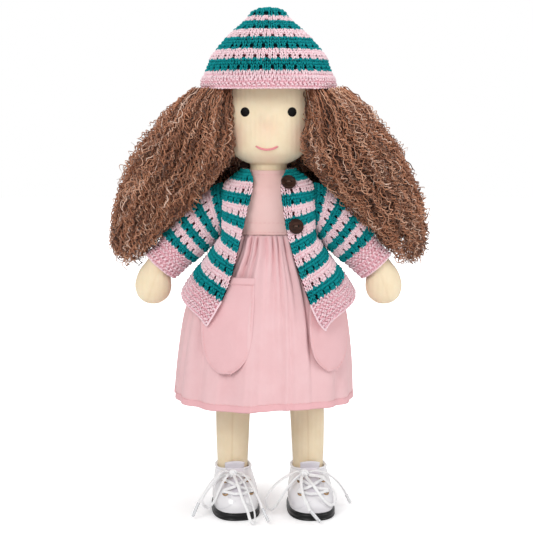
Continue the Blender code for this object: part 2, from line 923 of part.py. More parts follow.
def make_cardigan(torso):
    cutter = armhole_cutter("cardigan_armholes", cardigan_armhole_radius)
    left = make_cardigan_front("cardigan_left_front", torso, 1, left_tip_height, left_edge_shares)
    right = make_cardigan_front("cardigan_right_front", torso, -1, right_tip_height, right_edge_shares)
    rows = []
    for down in front_row_shares:
        row = []
        for column in back_column_shares:
            bottom = cardigan_side_height - cardigan_back_drop_height * math.sin(math.pi * column)
            height = lerp(collar_height, bottom, down)
            seam = seam_angle(height)
            row.append(cardigan_point(height, lerp(seam, math.pi - seam, column)))
        rows.append(row)
    back = add_piece("cardigan_back", loft(rows, closed=False, inside=Vector()), torso, teal_yarn)
    thicken(back, knit_thickness, -1)
    make_buttons(torso, left)
    for panel in (left, right, back):
        cut(panel, cutter)


# Radius and height of a button's section, from the middle of its front round to its back.
button_profile_shares = ((0, 0.7), (0.62, 0.7), (0.8, 1), (1, 0.5), (0.85, 0), (0, 0))

# Where the two buttons sit: distance from the middle, and height.
button_places = (("upper_button", 0.0116, 0.2012), ("lower_button", 0.0160, 0.1760))


def make_buttons(torso, front):
    surface = surface_of(front)
    profile = [(button_radius * out, button_thickness * up) for out, up in button_profile_shares]
    for name, x, z in button_places:
        place, normal = touch(surface, x, z)
        frame = facing(place, normal, 2 * gap)
        button = add_piece(name, turned(profile, button_sides), torso, dark_wood, frame)
        cut(button, button_hole_cutter(name, frame))


def button_hole_cutter(name, frame):
    shape = bmesh.new()
    for side in (-1, 1):
        where = Matrix.Translation((side * button_hole_spacing / 2, 0, button_thickness / 2))
        bmesh.ops.create_cone(shape, cap_ends=True, segments=button_hole_sides,
                              radius1=button_hole_radius, radius2=button_hole_radius,
                              depth=button_thickness + overrun_length, matrix=where)
    mesh = to_mesh(shape)
    mesh.transform(frame)
    return add_cutter(name + "_holes", mesh)


# Sleeves

# Reach and drop of a sleeve's sections from its start, lean in degrees, half height and half depth.
sleeve_section_shares = (
    (0.000, 0.025, 0, 1.145, 1.000),
    (0.010, 0.025, 0, 1.145, 1.000),
    (0.155, 0.138, 32, 0.945, 1.010),
    (0.270, 0.230, 37, 1.010, 1.010),
    (0.410, 0.350, 41, 1.000, 1.000),
    (0.555, 0.490, 50, 0.880, 0.880),
    (0.590, 0.525, 51, 0.860, 0.860),
    (0.725, 0.625, 49, 0.870, 0.870),
)


def make_sleeve(name, body, side):
    root = Vector((sleeve_start_width, 0, shoulder_height))
    rings = []
    for reach, drop, lean, tall, deep in sleeve_section_shares:
        centre = root + Vector((arm_reach * reach, 0, -arm_fall_height * drop))
        rings.append(limb_ring(centre, math.radians(lean), sleeve_radius * tall, sleeve_radius * deep,
                               sleeve_sides))
    sleeve = add_piece(name, loft(mirrored(rings, side)), body, teal_yarn)
    thicken(sleeve, knit_thickness, -1)


# Shoes

# Height up the upper, front and back from the ankle as shares of the sole's length, and half width.
upper_section_shares = (
    (0.00, 0.696, 0.256, 0.926),
    (0.20, 0.700, 0.264, 0.955),
    (0.40, 0.650, 0.262, 0.930),
    (0.56, 0.550, 0.256, 0.880),
    (0.69, 0.440, 0.250, 0.835),
    (0.84, 0.330, 0.246, 0.800),
    (1.00, 0.262, 0.244, 0.795),
)
shoe_square = 2.5
heel_narrowing_share = 0.09
front_narrowing_share = 0.063
throat_middle_share = 0.41
upper_sides = 20


def shoe_ring(height, front, back, half_width, sides):
    """A level egg-shaped ring round a foot, narrower at the heel, in the shoe's own frame."""
    ring = level_ring(height, half_width, (front + back) / 2, shoe_square, sides, centre_y=(back - front) / 2)
    for point in ring:
        along = (point.y - (back - front) / 2) / ((front + back) / 2)
        point.x *= 1 - heel_narrowing_share * along
    return ring


def upper_section(height):
    base = sole_thickness + gap
    rows = [(lerp(base, upper_height, up), sole_length * front, sole_length * back, sole_width / 2 * width)
            for up, front, back, width in upper_section_shares]
    return read_table(rows, height)


def shoe_front(x, height):
    """The upper's outer side in front of the foot, in the shoe's own frame."""
    front, back, half_width = upper_section(height)
    across = min(abs(x) / (half_width * (1 + front_narrowing_share)), 1)
    reach = (front + back) / 2 * (1 - across ** shoe_square) ** (1 / shoe_square)
    return Vector((x, (back - front) / 2 - reach, height))


def make_sole(name, body, place):
    shape = bmesh.new()
    ring = shoe_ring(0, sole_length - sole_back_length, sole_back_length, sole_width / 2, sole_points)
    face = shape.faces.new([shape.verts.new(p) for p in ring])
    made = bmesh.ops.extrude_face_region(shape, geom=[face])
    raised = [item for item in made["geom"] if isinstance(item, bmesh.types.BMVert)]
    bmesh.ops.translate(shape, verts=raised, vec=(0, 0, sole_thickness))
    bmesh.ops.recalc_face_normals(shape, faces=shape.faces[:])
    sole = add_piece(name, to_mesh(shape), body, black_rubber, place)
    edge = sole.modifiers.new("edge", "BEVEL")
    edge.width = sole_edge_width
    edge.segments = 1
    edge.limit_method = "ANGLE"


def make_upper(name, body, place):
    base = sole_thickness + gap
    rings = []
    for row in upper_section_shares:
        height = lerp(base, upper_height, row[0])
        front, back, half_width = upper_section(height)
        rings.append(shoe_ring(height, front, back, half_width, upper_sides))
    upper = add_piece(name, loft(rings), body, white_patent, place)
    thicken(upper, upper_thickness, -1)
    shape = bmesh.new()
    bmesh.ops.create_cube(shape, size=1)
    slot_top = upper_height + overrun_length
    size = Vector((throat_width, sole_length / 2, slot_top - throat_height))
    middle = Vector((0, -sole_length * throat_middle_share, (slot_top + throat_height) / 2))
    slot = to_mesh(shape)
    slot.transform(place @ Matrix.Translation(middle) @ Matrix.Diagonal((*size, 1)))
    cut(upper, add_cutter(name + "_throat", slot))
    return upper


tongue_row_shares = (0.0, 0.27, 0.53, 0.77, 1.0)
tongue_column_shares = (-1.0, -0.5, 0.0, 0.5, 1.0)


def make_tongue(name, body, place):
    rows = []
    for up in tongue_row_shares:
        inset = Vector((0, lerp(tongue_low_inset_depth, tongue_high_inset_depth, up), 0))
        height = lerp(throat_height - tongue_root_length, upper_height, up)
        rows.append([place @ (shoe_front(across * tongue_width / 2, height) + inset)
                     for across in tongue_column_shares])
    rise = Vector((0, -tongue_fold_depth, tongue_rise_height))
    rows.append([point + rise for point in rows[-1]])
    centre = place @ Vector((0, sole_back_length / 2, 0))
    tongue = add_piece(name, loft(rows, closed=False, inside=centre), body, white_patent)
    thicken(tongue, tongue_thickness, -1)


def eyelet_spots():
    """Name, sideways distance and height of a shoe's four eyelets."""
    return (("outer_low", -eyelet_spacing_low / 2, eyelet_height_low),
            ("outer_high", -eyelet_spacing_high / 2, eyelet_height_high),
            ("inner_low", eyelet_spacing_low / 2, eyelet_height_low),
            ("inner_high", eyelet_spacing_high / 2, eyelet_height_high))


# Radius and height of an eyelet's section round its rim, from its front to its back.
eyelet_rim_shares = ((0.8, 1), (1, 0.3), (0.9, 0))

# How near to the middle of the shoe a lace hole points, as a share of its distance in front of the ankle.
lace_hole_aim_share = 0.4


def make_eyelets(prefix, body, upper, place):
    """Brass rings round the lace holes, seated square on the upper; returns where a lace crosses each."""
    tree, world = surface_of(upper)
    crossings = {}
    lift = eyelet_thickness + 4 * gap + lace_radius
    rim = [(eyelet_radius * out, eyelet_thickness * up) for out, up in eyelet_rim_shares]
    profile = [(eyelet_hole_radius, 0), (eyelet_hole_radius, eyelet_thickness), *rim, (eyelet_hole_radius, 0)]
    for label, x, height in eyelet_spots():
        local = shoe_front(x, height)
        outside = place @ Vector((local.x * 2, local.y * 2, height))
        aim = (place @ Vector((0, local.y * lace_hole_aim_share, height))) - outside
        inverse = world.inverted()
        spot, normal, _, _ = tree.ray_cast(inverse @ outside, inverse.to_3x3() @ aim)
        outward = world.to_3x3() @ normal
        frame = facing(world @ spot, outward, eyelet_seat_gap)
        add_piece(prefix + "_eyelet_" + label, turned(profile, eyelet_sides), body, brass, frame)
        crossings[label] = world @ spot + outward * lift
    return crossings


# Where the lacing bends on its way, as shares of the way, and how high it lies there, in its clearance.
lacing_bend_share = 0.55
lacing_bend_lift = 0.35
lacing_rest_lift = 0.6


def lacing_route(place, knot, eyelets):
    """The lace between the eyelets: out of the knot, across to each eyelet and back to the knot."""
    clear = lace_radius + 3 * gap
    lift = Vector((0, -clear, clear * lacing_rest_lift))
    over = Vector((0, -clear, clear))
    middle = shoe_front(0, (eyelet_height_low + eyelet_height_high) / 2) + lift
    low_middle = shoe_front(0, eyelet_height_low) + lift
    turn = place.to_3x3()
    ends = []
    out, forward, down = lacing_exit_shares
    for side in (-1, 1):
        way = turn @ Vector((side * out, forward, down)).normalized()
        ends.append((knot + way * (knot_radius + 1.5 * gap), knot + way * (knot_radius + 3 * lace_radius)))
    high_left = eyelets["outer_high"]
    high_right = eyelets["inner_high"]
    return (ends[0][0],
            ends[0][1],
            ends[0][1].lerp(high_left, lacing_bend_share) + over * lacing_bend_lift,
            high_left,
            high_left.lerp(place @ middle, lacing_bend_share),
            place @ middle,
            eyelets["inner_low"],
            place @ low_middle,
            eyelets["outer_low"],
            place @ (middle + over),
            high_right.lerp(place @ (middle + over), 1 - lacing_bend_share),
            high_right,
            ends[1][1].lerp(high_right, lacing_bend_share) + over * lacing_bend_lift,
            ends[1][1],
            ends[1][0])


# The way that the lacing leaves its knot, down and towards the eyelets.
lacing_exit_shares = (0.68, -0.05, -0.73)

# The knots, and the free laces as routes from the knot outwards: each point's distance to the side of
# the ankle, behind it and above the ground, as shares of the sole's width, its length and the upper's height.
right_knot_shares = (0.0281, -0.4140, 0.9333)
left_knot_shares = (-0.0947, -0.4140, 0.9333)
right_lace_shares = {
    "front_tail": ((-0.1579, -0.4280, 1.0074), (-0.2526, -0.4720, 0.9704), (-0.3509, -0.5200, 0.8815),
                   (-0.4491, -0.5600, 0.7630), (-0.5579, -0.5900, 0.5963), (-0.6667, -0.6200, 0.4074),
                   (-0.7544, -0.6500, 0.2222), (-0.8140, -0.6700, 0.0778)),
    "side_loop": ((-0.0947, -0.4720, 0.9111), (-0.2000, -0.5320, 0.7630), (-0.2807, -0.5600, 0.5815),
                  (-0.3684, -0.5600, 0.3630), (-0.4877, -0.5200, 0.2148), (-0.5860, -0.4640, 0.2074),
                  (-0.6351, -0.4440, 0.3259), (-0.5649, -0.4260, 0.4889), (-0.4281, -0.4100, 0.6593),
                  (-0.2807, -0.4000, 0.8222), (-0.1474, -0.3940, 0.8963)),
    "toe_loop": ((0.0561, -0.5040, 0.9185), (0.1298, -0.6520, 0.8148), (0.2421, -0.7920, 0.5407),
                 (0.3474, -0.8640, 0.3185), (0.3965, -0.9220, 0.1741), (0.4456, -0.9260, 0.0815),
                 (0.4912, -0.8700, 0.0815), (0.4947, -0.8000, 0.2296), (0.4175, -0.7240, 0.4815),
                 (0.3053, -0.6320, 0.7556), (0.2351, -0.5520, 0.8444), (0.1719, -0.4920, 0.8963)),
    "inner_tail": ((0.2035, -0.4320, 0.9556), (0.3474, -0.5000, 0.8519), (0.4632, -0.5920, 0.7037),
                   (0.5684, -0.6800, 0.5111), (0.6632, -0.7640, 0.3259), (0.7333, -0.8200, 0.1704),
                   (0.7860, -0.8520, 0.0667)),
}
left_lace_shares = {
    "inner_loop": ((-0.2807, -0.4160, 0.9778), (-0.4035, -0.4480, 0.9259), (-0.6211, -0.4720, 0.7852),
                   (-0.8000, -0.4860, 0.6000), (-0.9088, -0.4900, 0.4037), (-0.9018, -0.4840, 0.2148),
                   (-0.8175, -0.4920, 0.1333), (-0.7193, -0.5100, 0.2074), (-0.6281, -0.5240, 0.3704),
                   (-0.4737, -0.5160, 0.6222), (-0.2702, -0.4700, 0.8593)),
    "toe_tail": ((-0.1579, -0.5060, 0.9037), (-0.1719, -0.6080, 0.7630), (-0.1193, -0.7240, 0.5556),
                 (-0.0140, -0.8040, 0.3704), (0.1053, -0.8500, 0.2000), (0.2140, -0.8700, 0.0741)),
    "side_loop": ((0.0526, -0.4520, 0.8889), (0.2561, -0.4840, 0.8741), (0.4316, -0.5040, 0.7259),
                  (0.5509, -0.5240, 0.5148), (0.5649, -0.5600, 0.3704), (0.4667, -0.6160, 0.3111),
                  (0.3263, -0.6720, 0.4333), (0.1789, -0.6800, 0.6444), (0.0667, -0.6320, 0.8000),
                  (-0.0316, -0.5220, 0.8667)),
    "outer_tail": ((0.0807, -0.3920, 0.9778), (0.2351, -0.3720, 0.9556), (0.4000, -0.3520, 0.8889),
                   (0.5509, -0.3240, 0.7630), (0.6772, -0.2920, 0.6074), (0.8211, -0.2000, 0.3333),
                   (0.8947, -0.1300, 0.1333), (0.9228, -0.0960, 0.0593)),
}
lace_point_spacing = 0.0032


def beside_shoe(foot, shares):
    across, along, up = shares
    return foot + Vector((sole_width * across, sole_length * along, upper_height * up))


def knot_exit(knot, toward):
    """A point a gap outside the knot, on the way to a lace's next point."""
    return knot + (toward - knot).normalized() * (knot_radius + gap)


def make_laces(prefix, body, knot_shares, lace_shares, place, eyelets):
    foot = place.translation
    knot = beside_shoe(foot, knot_shares)
    shape = bmesh.new()
    bmesh.ops.create_uvsphere(shape, u_segments=knot_sides, v_segments=knot_levels, radius=knot_radius)
    add_piece(prefix + "_lace_knot", to_mesh(shape), body, lace_white, Matrix.Translation(knot))
    lacing = smooth_route(lacing_route(place, knot, eyelets), lace_point_spacing)
    add_cord(prefix + "_lacing", lacing, lace_radius, body, lace_white)
    for label, shares in lace_shares.items():
        points = [beside_shoe(foot, row) for row in shares]
        is_loop = label.endswith("loop")
        route = [knot_exit(knot, points[0]), *points]
        if is_loop:
            route.append(knot_exit(knot, points[-1]))
        path = smooth_route(route, lace_point_spacing)
        if not is_loop:
            end = points[-1]
            toward = (end - points[-2]).normalized()
            start = end - toward * aglet_length
            path = [p for p in path if (p - end).length > aglet_length + lace_radius * 4]
            path += [start - toward * lace_radius * 2, start - toward * gap]
            add_cord(prefix + "_" + label + "_aglet", [start, end], aglet_radius, body, clear_plastic)
        add_cord(prefix + "_lace_" + label, path, lace_radius, body, lace_white)


def make_shoe(prefix, body, side, turn, knot_shares, lace_shares):
    place = Matrix.Translation(leg_foot(side)) @ Matrix.Rotation(turn, 4, "Z")
    make_sole(prefix + "_sole", body, place)
    upper = make_upper(prefix + "_upper", body, place)
    make_tongue(prefix + "_tongue", body, place)
    eyelets = make_eyelets(prefix, body, upper, place)
    make_laces(prefix, body, knot_shares, lace_shares, place, eyelets)


def make_doll():
    clear_scene()
    torso = joint_empty("torso_frame", Vector((0, 0, hip_height)))
    head = joint_empty("neck_joint", Vector((0, 0, neck_height)), torso)
    hat = joint_empty("hat_joint", Vector((0, 0, hat_brim_height)), head)
    lap = joint_empty("sit_joint", Vector((0, 0, hip_height)), torso)
    make_torso(torso)
    make_head(head)
    make_hair(head)
    make_hat(hat)
    make_bodice(torso)
    make_skirt(lap)
    make_cardigan(torso)
    limbs = (("left", 1, left_foot_turn, left_knot_shares, left_lace_shares),
             ("right", -1, right_foot_turn, right_knot_shares, right_lace_shares))
    for label, side, turn, knot_shares, lace_shares in limbs:
        shoulder = joint_empty(label + "_shoulder_joint",
                               Vector((side * shoulder_spacing / 2, 0, shoulder_height)), torso)
        make_arm(label + "_arm", shoulder, side)
        make_sleeve(label + "_sleeve", shoulder, side)
        hip = joint_empty(label + "_hip_joint", Vector((side * hip_spacing / 2, 0, hip_height)), lap)
        make_leg(label + "_leg", hip, side, turn)
        make_shoe(label + "_shoe", hip, side, turn, knot_shares, lace_shares)


make_doll()
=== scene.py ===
"""The look of a soft doll in a knitted hat and cardigan, made over its solid parts.

Metres, +Z up. The doll faces -Y, so its own left side is at +X.
"""

import math

import bmesh
import bpy
import numpy as np
from mathutils import Matrix, Vector


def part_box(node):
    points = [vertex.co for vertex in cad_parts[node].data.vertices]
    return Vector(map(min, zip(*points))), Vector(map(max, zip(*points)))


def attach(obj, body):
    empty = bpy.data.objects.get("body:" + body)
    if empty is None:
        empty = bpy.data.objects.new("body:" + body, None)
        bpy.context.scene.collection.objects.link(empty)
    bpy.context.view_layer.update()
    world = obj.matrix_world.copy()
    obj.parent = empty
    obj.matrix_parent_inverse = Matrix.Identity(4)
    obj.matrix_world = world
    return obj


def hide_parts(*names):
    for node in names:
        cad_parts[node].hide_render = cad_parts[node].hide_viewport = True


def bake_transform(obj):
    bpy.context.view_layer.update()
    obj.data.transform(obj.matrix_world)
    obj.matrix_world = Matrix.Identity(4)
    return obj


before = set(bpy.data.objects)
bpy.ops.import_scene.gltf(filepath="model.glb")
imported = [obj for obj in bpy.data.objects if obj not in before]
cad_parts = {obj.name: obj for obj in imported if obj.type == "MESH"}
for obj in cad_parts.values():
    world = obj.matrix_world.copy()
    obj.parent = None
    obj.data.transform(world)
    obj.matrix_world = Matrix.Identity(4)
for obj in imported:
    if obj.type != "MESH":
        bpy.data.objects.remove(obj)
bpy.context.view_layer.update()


# The table and the light
# The doll stands on a wide sheet of white paper in a bright white room, under large soft lamps in
# front, at one side and above.
bpy.context.scene.view_settings.view_transform = "Standard"
camera_place = Vector((-0.0012, -0.780, 0.250))
camera_aim = Vector((-0.0012, 0.0, 0.14907))
camera_lens = 86.98

camera = bpy.data.objects.new("camera", bpy.data.cameras.new("camera"))
camera.data.lens = camera_lens
camera.data.sensor_width = 36
camera.data.clip_start = 0.01
camera.location = camera_place
camera.rotation_euler = (camera_aim - camera_place).to_track_quat("-Z", "Y").to_euler()
bpy.context.scene.collection.objects.link(camera)
bpy.context.scene.camera = camera


def soft_lamp(name, place, width, power):
    lamp = bpy.data.objects.new(name, bpy.data.lights.new(name, "AREA"))
    lamp.data.shape = "DISK"
    lamp.data.size = width
    lamp.data.energy = power
    lamp.location = place
    aim = Vector((0, 0, 0.15)) - Vector(place)
    lamp.rotation_euler = aim.to_track_quat("-Z", "Y").to_euler()
    bpy.context.scene.collection.objects.link(lamp)


soft_lamp("front_lamp", (-0.55, -1.10, 0.95), 0.7, 8.5)
soft_lamp("side_lamp", (1.05, -0.55, 0.65), 0.8, 4.5)
soft_lamp("top_lamp", (0.05, 0.35, 1.35), 0.9, 5.5)


def give(made, socket, value):
    """Gives an input of a material's node a number, a colour or another node's output."""
    if isinstance(value, bpy.types.NodeSocket):
        made.node_tree.links.new(value, socket)
    elif isinstance(value, tuple) and len(socket.default_value) == 4:
        socket.default_value = (*value, 1)
    else:
        socket.default_value = value


def add_node(made, kind, inputs=(), **settings):
    """A node in a material, with its settings and what its inputs take."""
    node = made.node_tree.nodes.new("ShaderNode" + kind)
    for setting, value in settings.items():
        setattr(node, setting, value)
    for socket, value in dict(inputs).items():
        give(made, node.inputs[socket], value)
    return node


def set_shader(made, inputs):
    for socket, value in inputs.items():
        give(made, made.node_tree.nodes["Principled BSDF"].inputs[socket], value)


def new_finish(name, colour, roughness, inputs=()):
    """A material with its colour, its roughness and what else its shader's inputs take."""
    made = bpy.data.materials.new(name)
    made.use_nodes = True
    set_shader(made, {"Base Color": colour, "Roughness": roughness, **dict(inputs)})
    return made


def ramp(made, value, low, high, start=0.0, end=1.0, **settings):
    """A value carried from the range low..high to start..end, held at the ends."""
    return add_node(made, "MapRange", {"Value": value, "From Min": low, "From Max": high,
                                       "To Min": start, "To Max": end}, **settings).outputs[0]


room = bpy.data.worlds.new("room")
bpy.context.scene.world = room
room.use_nodes = True
room_path = add_node(room, "LightPath")
room_seen = room_path.outputs["Is Camera Ray"]
for kind in ("Is Glossy Ray", "Is Transmission Ray"):
    either = add_node(room, "Math", {0: room_seen, 1: room_path.outputs[kind]}, operation="MAXIMUM")
    room_seen = either.outputs[0]
room_light = room.node_tree.nodes["Background"].inputs
give(room, room_light["Color"], (1.0, 1.0, 1.0))
give(room, room_light["Strength"], ramp(room, room_seen, 0.0, 1.0, 0.50, 1.0))


def add_mesh(name, points, faces, finish):
    """A new piece from its points, its faces and its material, shaded smooth."""
    mesh = bpy.data.meshes.new(name)
    mesh.from_pydata(np.asarray(points, float).tolist(), [],
                     faces.tolist() if isinstance(faces, np.ndarray) else faces)
    mesh.update()
    mesh.shade_smooth()
    if finish:
        mesh.materials.append(finish)
    piece = bpy.data.objects.new(name, mesh)
    bpy.context.scene.collection.objects.link(piece)
    return piece


def grid_faces(rows, columns, closed=False):
    """Faces of a net of points in rows, joined round if the rows are closed."""
    index = np.arange(rows * columns).reshape(rows, columns)
    if closed:
        index = np.concatenate([index, index[:, :1]], axis=1)
    near, far = index[:-1], index[1:]
    return np.stack([near[:, :-1], near[:, 1:], far[:, 1:], far[:, :-1]], axis=-1).reshape(-1, 4)


paper_white = new_finish("white_paper", (0.93, 0.93, 0.935), 0.9)
# Painted light: the paper glows to the camera, at 0.3 near the doll and rising to full strength 0.45 m away, so
# that it looks white beyond the doll's shadow.
paper_reach = add_node(paper_white, "VectorMath",
                       {0: add_node(paper_white, "TexCoord").outputs["Object"]}, operation="LENGTH")
paper_level = ramp(paper_white, paper_reach.outputs["Value"], 0.10, 0.45, 0.30, 1.0)
paper_glow = add_node(paper_white, "Math", {
    0: add_node(paper_white, "LightPath").outputs["Is Camera Ray"], 1: paper_level}, operation="MULTIPLY")
set_shader(paper_white, {"Specular IOR Level": 0.1, "Emission Color": (1.0, 1.0, 1.0),
                         "Emission Strength": paper_glow.outputs[0]})
paper_half_width = 2.5
paper_side = np.linspace(-paper_half_width, paper_half_width, 9)
paper_points = [(x, y, 0.0) for y in paper_side for x in paper_side]
paper = add_mesh("paper", paper_points, grid_faces(9, 9), paper_white)


# The body, head, arms and legs
# Tubes of cream cotton jersey, sewn with a seam down the front and filled hard with wool. Each limb is
# stitched to the torso, and the head is a tied ball with a pinched nose.
torso_box = [Vector(corner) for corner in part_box("torso_skin")]
head_box = [Vector(corner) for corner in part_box("head_skin")]
neck_height = head_box[0].z
crown_height = head_box[1].z
neck_radius = 0.0110
head_half_width = 0.0284
head_half_depth = 0.0266
head_square = 2.15
nose_middle = -0.0011
nose_height = 0.2400
nose_stand_out = 0.0026
nose_spread = 0.0038

# Height, width, depth and forward shift, as shares of the head's height, half width and half depth.
head_sections = (
    (0.000, 0.390, 0.416, 0.00), (0.038, 0.392, 0.418, 0.00), (0.060, 0.405, 0.430, 0.00),
    (0.074, 0.500, 0.530, 0.00), (0.106, 0.655, 0.690, 0.00), (0.150, 0.795, 0.825, -0.02),
    (0.215, 0.868, 0.905, -0.04), (0.312, 0.945, 0.960, -0.03), (0.412, 0.986, 0.985, -0.02),
    (0.538, 1.000, 1.000, 0.00),
    (0.688, 0.951, 0.990, 0.02), (0.812, 0.827, 0.890, 0.02), (0.912, 0.600, 0.660, 0.02),
    (0.975, 0.310, 0.350, 0.02), (0.998, 0.060, 0.070, 0.02),
)


def squared(angle, square):
    """Places across and along a ring: a circle where square is 2, and squarer where it is larger."""
    return [np.sign(way) * np.abs(way) ** (2 / square) for way in (np.cos(angle), np.sin(angle))]


def level_ring(height, half_width, half_depth, square, sides, centre_x=0.0, centre_y=0.0):
    """A closed ring of points in a level plane."""
    across, along = squared(np.arange(sides) * 2 * math.pi / sides, square)
    return np.stack([centre_x + half_width * across, centre_y + half_depth * along,
                     np.full(sides, height)], axis=-1)


def finer(net, times, closed=False):
    """The rows of a net with more rows between them, on smooth curves through the given ones."""
    if closed:
        padded = np.concatenate([net[-1:], net, net[:2]])
    else:
        padded = np.concatenate([2 * net[:1] - net[1:2], net, 2 * net[-1:] - net[-2:-1]])
    before, start, end, after = (padded[k:len(padded) - 3 + k][:, None] for k in range(4))
    t = (np.arange(times) / times).reshape(1, times, *[1] * (net.ndim - 1))
    curve = 0.5 * (2 * start + (end - before) * t + (2 * before - 5 * start + 4 * end - after) * t ** 2
                   + (3 * start - before - 3 * end + after) * t ** 3)
    curve = curve.reshape(-1, *net.shape[1:])
    return curve if closed else np.concatenate([curve, net[-1:]])


def finer_form(rings, along=5, around=6):
    """A closed form's rings, refined along it and round it."""
    net = finer(np.asarray(rings, float), along)
    return np.swapaxes(finer(np.swapaxes(net, 0, 1), around, closed=True), 0, 1)


def face_outward(piece, merge=0.0):
    """Turns a closed form's faces outward, after any points that lie together are merged."""
    shape = bmesh.new()
    shape.from_mesh(piece.data)
    if merge:
        bmesh.ops.remove_doubles(shape, verts=shape.verts[:], dist=merge)
    bmesh.ops.recalc_face_normals(shape, faces=shape.faces[:])
    shape.to_mesh(piece.data)
    shape.free()
    return piece


def skinned(name, net, finish):
    """A piece from a form's refined rings, closed by a face at either end."""
    rows, sides = net.shape[:2]
    faces = grid_faces(rows, sides, closed=True).tolist()
    faces += [list(range(sides))[::-1], list(range((rows - 1) * sides, rows * sides))]
    return face_outward(add_mesh(name, net.reshape(-1, 3), faces, finish))


def mark(piece, name, values):
    """Keeps a value for each point of a piece, which its material reads by name."""
    kept = piece.data.attributes.new(name, "FLOAT", "POINT")
    kept.data.foreach_set("value", np.asarray(values, np.float32).ravel())


def marked(made, name):
    return add_node(made, "Attribute", attribute_name=name).outputs["Fac"]


def noise_at(made, scale, detail=3.0, stretch=(1, 1, 1)):
    """Fine noise fixed to the piece; scale is in spots a metre, stretched by a share on each axis."""
    place = add_node(made, "TexCoord").outputs["Object"]
    mapping = add_node(made, "Mapping", {"Vector": place, "Scale": stretch})
    noise = add_node(made, "TexNoise", {"Vector": mapping.outputs[0], "Scale": scale, "Detail": detail})
    return noise.outputs["Fac"]


def blend_colours(made, share, first, second):
    """A colour between two, each a colour or another node's output, by a share that a node gives."""
    mix = add_node(made, "Mix", data_type="RGBA")
    for socket, value in (("Factor", share), ("A", first), ("B", second)):
        give(made, mix.inputs[socket], value)
    return mix.outputs["Result"]


def raised(made, height, depth, strength, under=None):
    """Relief on the surface from a height between 0 and 1, that deep in metres."""
    relief = add_node(made, "Bump", {"Distance": depth, "Strength": strength, "Height": height})
    if under is not None:
        give(made, relief.inputs["Normal"], under)
    set_shader(made, {"Normal": relief.outputs[0]})
    return relief.outputs[0]


def soft_spot(made, centre, radius):
    """1 at a point on the piece, falling smoothly to 0 at a radius."""
    reach = add_node(made, "VectorMath", {0: add_node(made, "TexCoord").outputs["Object"], 1: centre},
                     operation="DISTANCE")
    return ramp(made, reach.outputs["Value"], 0.0, radius, 1.0, 0.0, interpolation_type="SMOOTHSTEP")


jersey_cream = (0.880, 0.745, 0.530)
jersey_shaded = (0.800, 0.620, 0.390)
# The seams' brown, which along the neck crease is painted shade.
seam_and_crease_shade_brown = (0.72, 0.54, 0.33)
# The warm pink of the cheeks' blush, also used for painted shade below the nose and under the chin.
blush_and_shade_pink = (0.870, 0.480, 0.370)
jersey_rib = 0.00045


def cotton_jersey(name, blush_and_shade_spots=()):
    """Cream cotton jersey: fine upright ribs, a soft nap, uneven dye, any soft spots of blush and of painted
    shade on it, and brown on its marked seams, painted shade along the neck crease.
    """
    made = new_finish(name, jersey_cream, 0.88, {
        "Sheen Weight": 0.25, "Sheen Roughness": 0.5, "Subsurface Weight": 0.05,
        "Subsurface Scale": 0.002, "Specular IOR Level": 0.2})
    uneven = ramp(made, noise_at(made, 160, 4), 0.35, 0.75, 0.0, 0.35)
    colour = blend_colours(made, uneven, jersey_cream, jersey_shaded)
    for centre, radius, amount in blush_and_shade_spots:
        spot = ramp(made, soft_spot(made, centre, radius), 0.0, 1.0, 0.0, amount)
        colour = blend_colours(made, spot, colour, blush_and_shade_pink)
    # Marked seams turn brown; along the neck crease this brown is painted shade.
    seam = ramp(made, marked(made, "seam"), 0.0, 1.0, 0.0, 0.75)
    set_shader(made, {"Base Color": blend_colours(made, seam, colour, seam_and_crease_shade_brown)})
    ribs = add_node(made, "TexWave", {
        "Vector": add_node(made, "TexCoord").outputs["Object"], "Distortion": 1.2, "Detail": 2.0,
        "Scale": 1 / (jersey_rib * 2 * math.pi) / 3.2}, bands_direction="X")
    low = raised(made, ribs.outputs["Fac"], 0.00012, 0.6)
    raised(made, noise_at(made, 900, 3), 0.0002, 0.5, under=low)
    return made


def press_seam(net, column, depth, spread):
    """Presses a sewn seam into a form along one column of its net; returns the net and its closeness."""
    sides = net.shape[1]
    away = np.abs((np.arange(sides) - column + sides / 2) % sides - sides / 2)
    closeness = np.exp(-(away / spread) ** 2)
    outward = net - net.mean(axis=1, keepdims=True)
    outward /= np.maximum(np.linalg.norm(outward, axis=2, keepdims=True), 1e-9)
    return (net - outward * (depth * closeness)[None, :, None],
            np.broadcast_to(closeness, net.shape[:2]))


def belongs(piece, body, slot, *nodes):
    """A piece rides on a body and stands for its solids, which are hidden; its slot is not used."""
    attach(piece, body)
    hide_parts(*nodes)


def stuffed(name, net, body, finish, *nodes):
    """A part of the body: a jersey skin filled hard with wool."""
    piece = skinned(name, net, finish)
    belongs(piece, body, "skin_jersey", *nodes)
    return piece


torso_half_width = 0.0300
torso_half_depth = 0.0192
torso_sections = (
    (0.000, 0.740, 0.830, 2.4), (0.040, 0.930, 0.960, 2.4), (0.120, 1.000, 1.000, 2.4),
    (0.260, 0.900, 0.990, 2.4), (0.440, 0.767, 0.958, 2.4), (0.600, 0.735, 0.930, 2.6),
    (0.750, 0.733, 0.896, 3.0), (0.838, 0.727, 0.844, 3.0), (0.896, 0.685, 0.770, 3.0),
    (0.938, 0.550, 0.677, 2.4), (0.968, 0.417, 0.615, 2.0), (1.000, 0.367, 0.573, 2.0),
)


def torso_ring(share, ease=0.0, sides=16):
    """A ring round the torso at a share of its height, with a garment's ease added."""
    table = np.asarray(torso_sections)
    width, depth, square = (np.interp(share, table[:, 0], table[:, k]) for k in (1, 2, 3))
    height = torso_box[0].z + (torso_box[1].z - torso_box[0].z) * share
    return level_ring(height, torso_half_width * width + ease, torso_half_depth * depth + ease,
                      square, sides)


torso_net = finer_form([torso_ring(row[0]) for row in torso_sections])
stuffed("torso", torso_net, "torso", cotton_jersey("torso_jersey"), "torso_skin", "torso_stuffing")

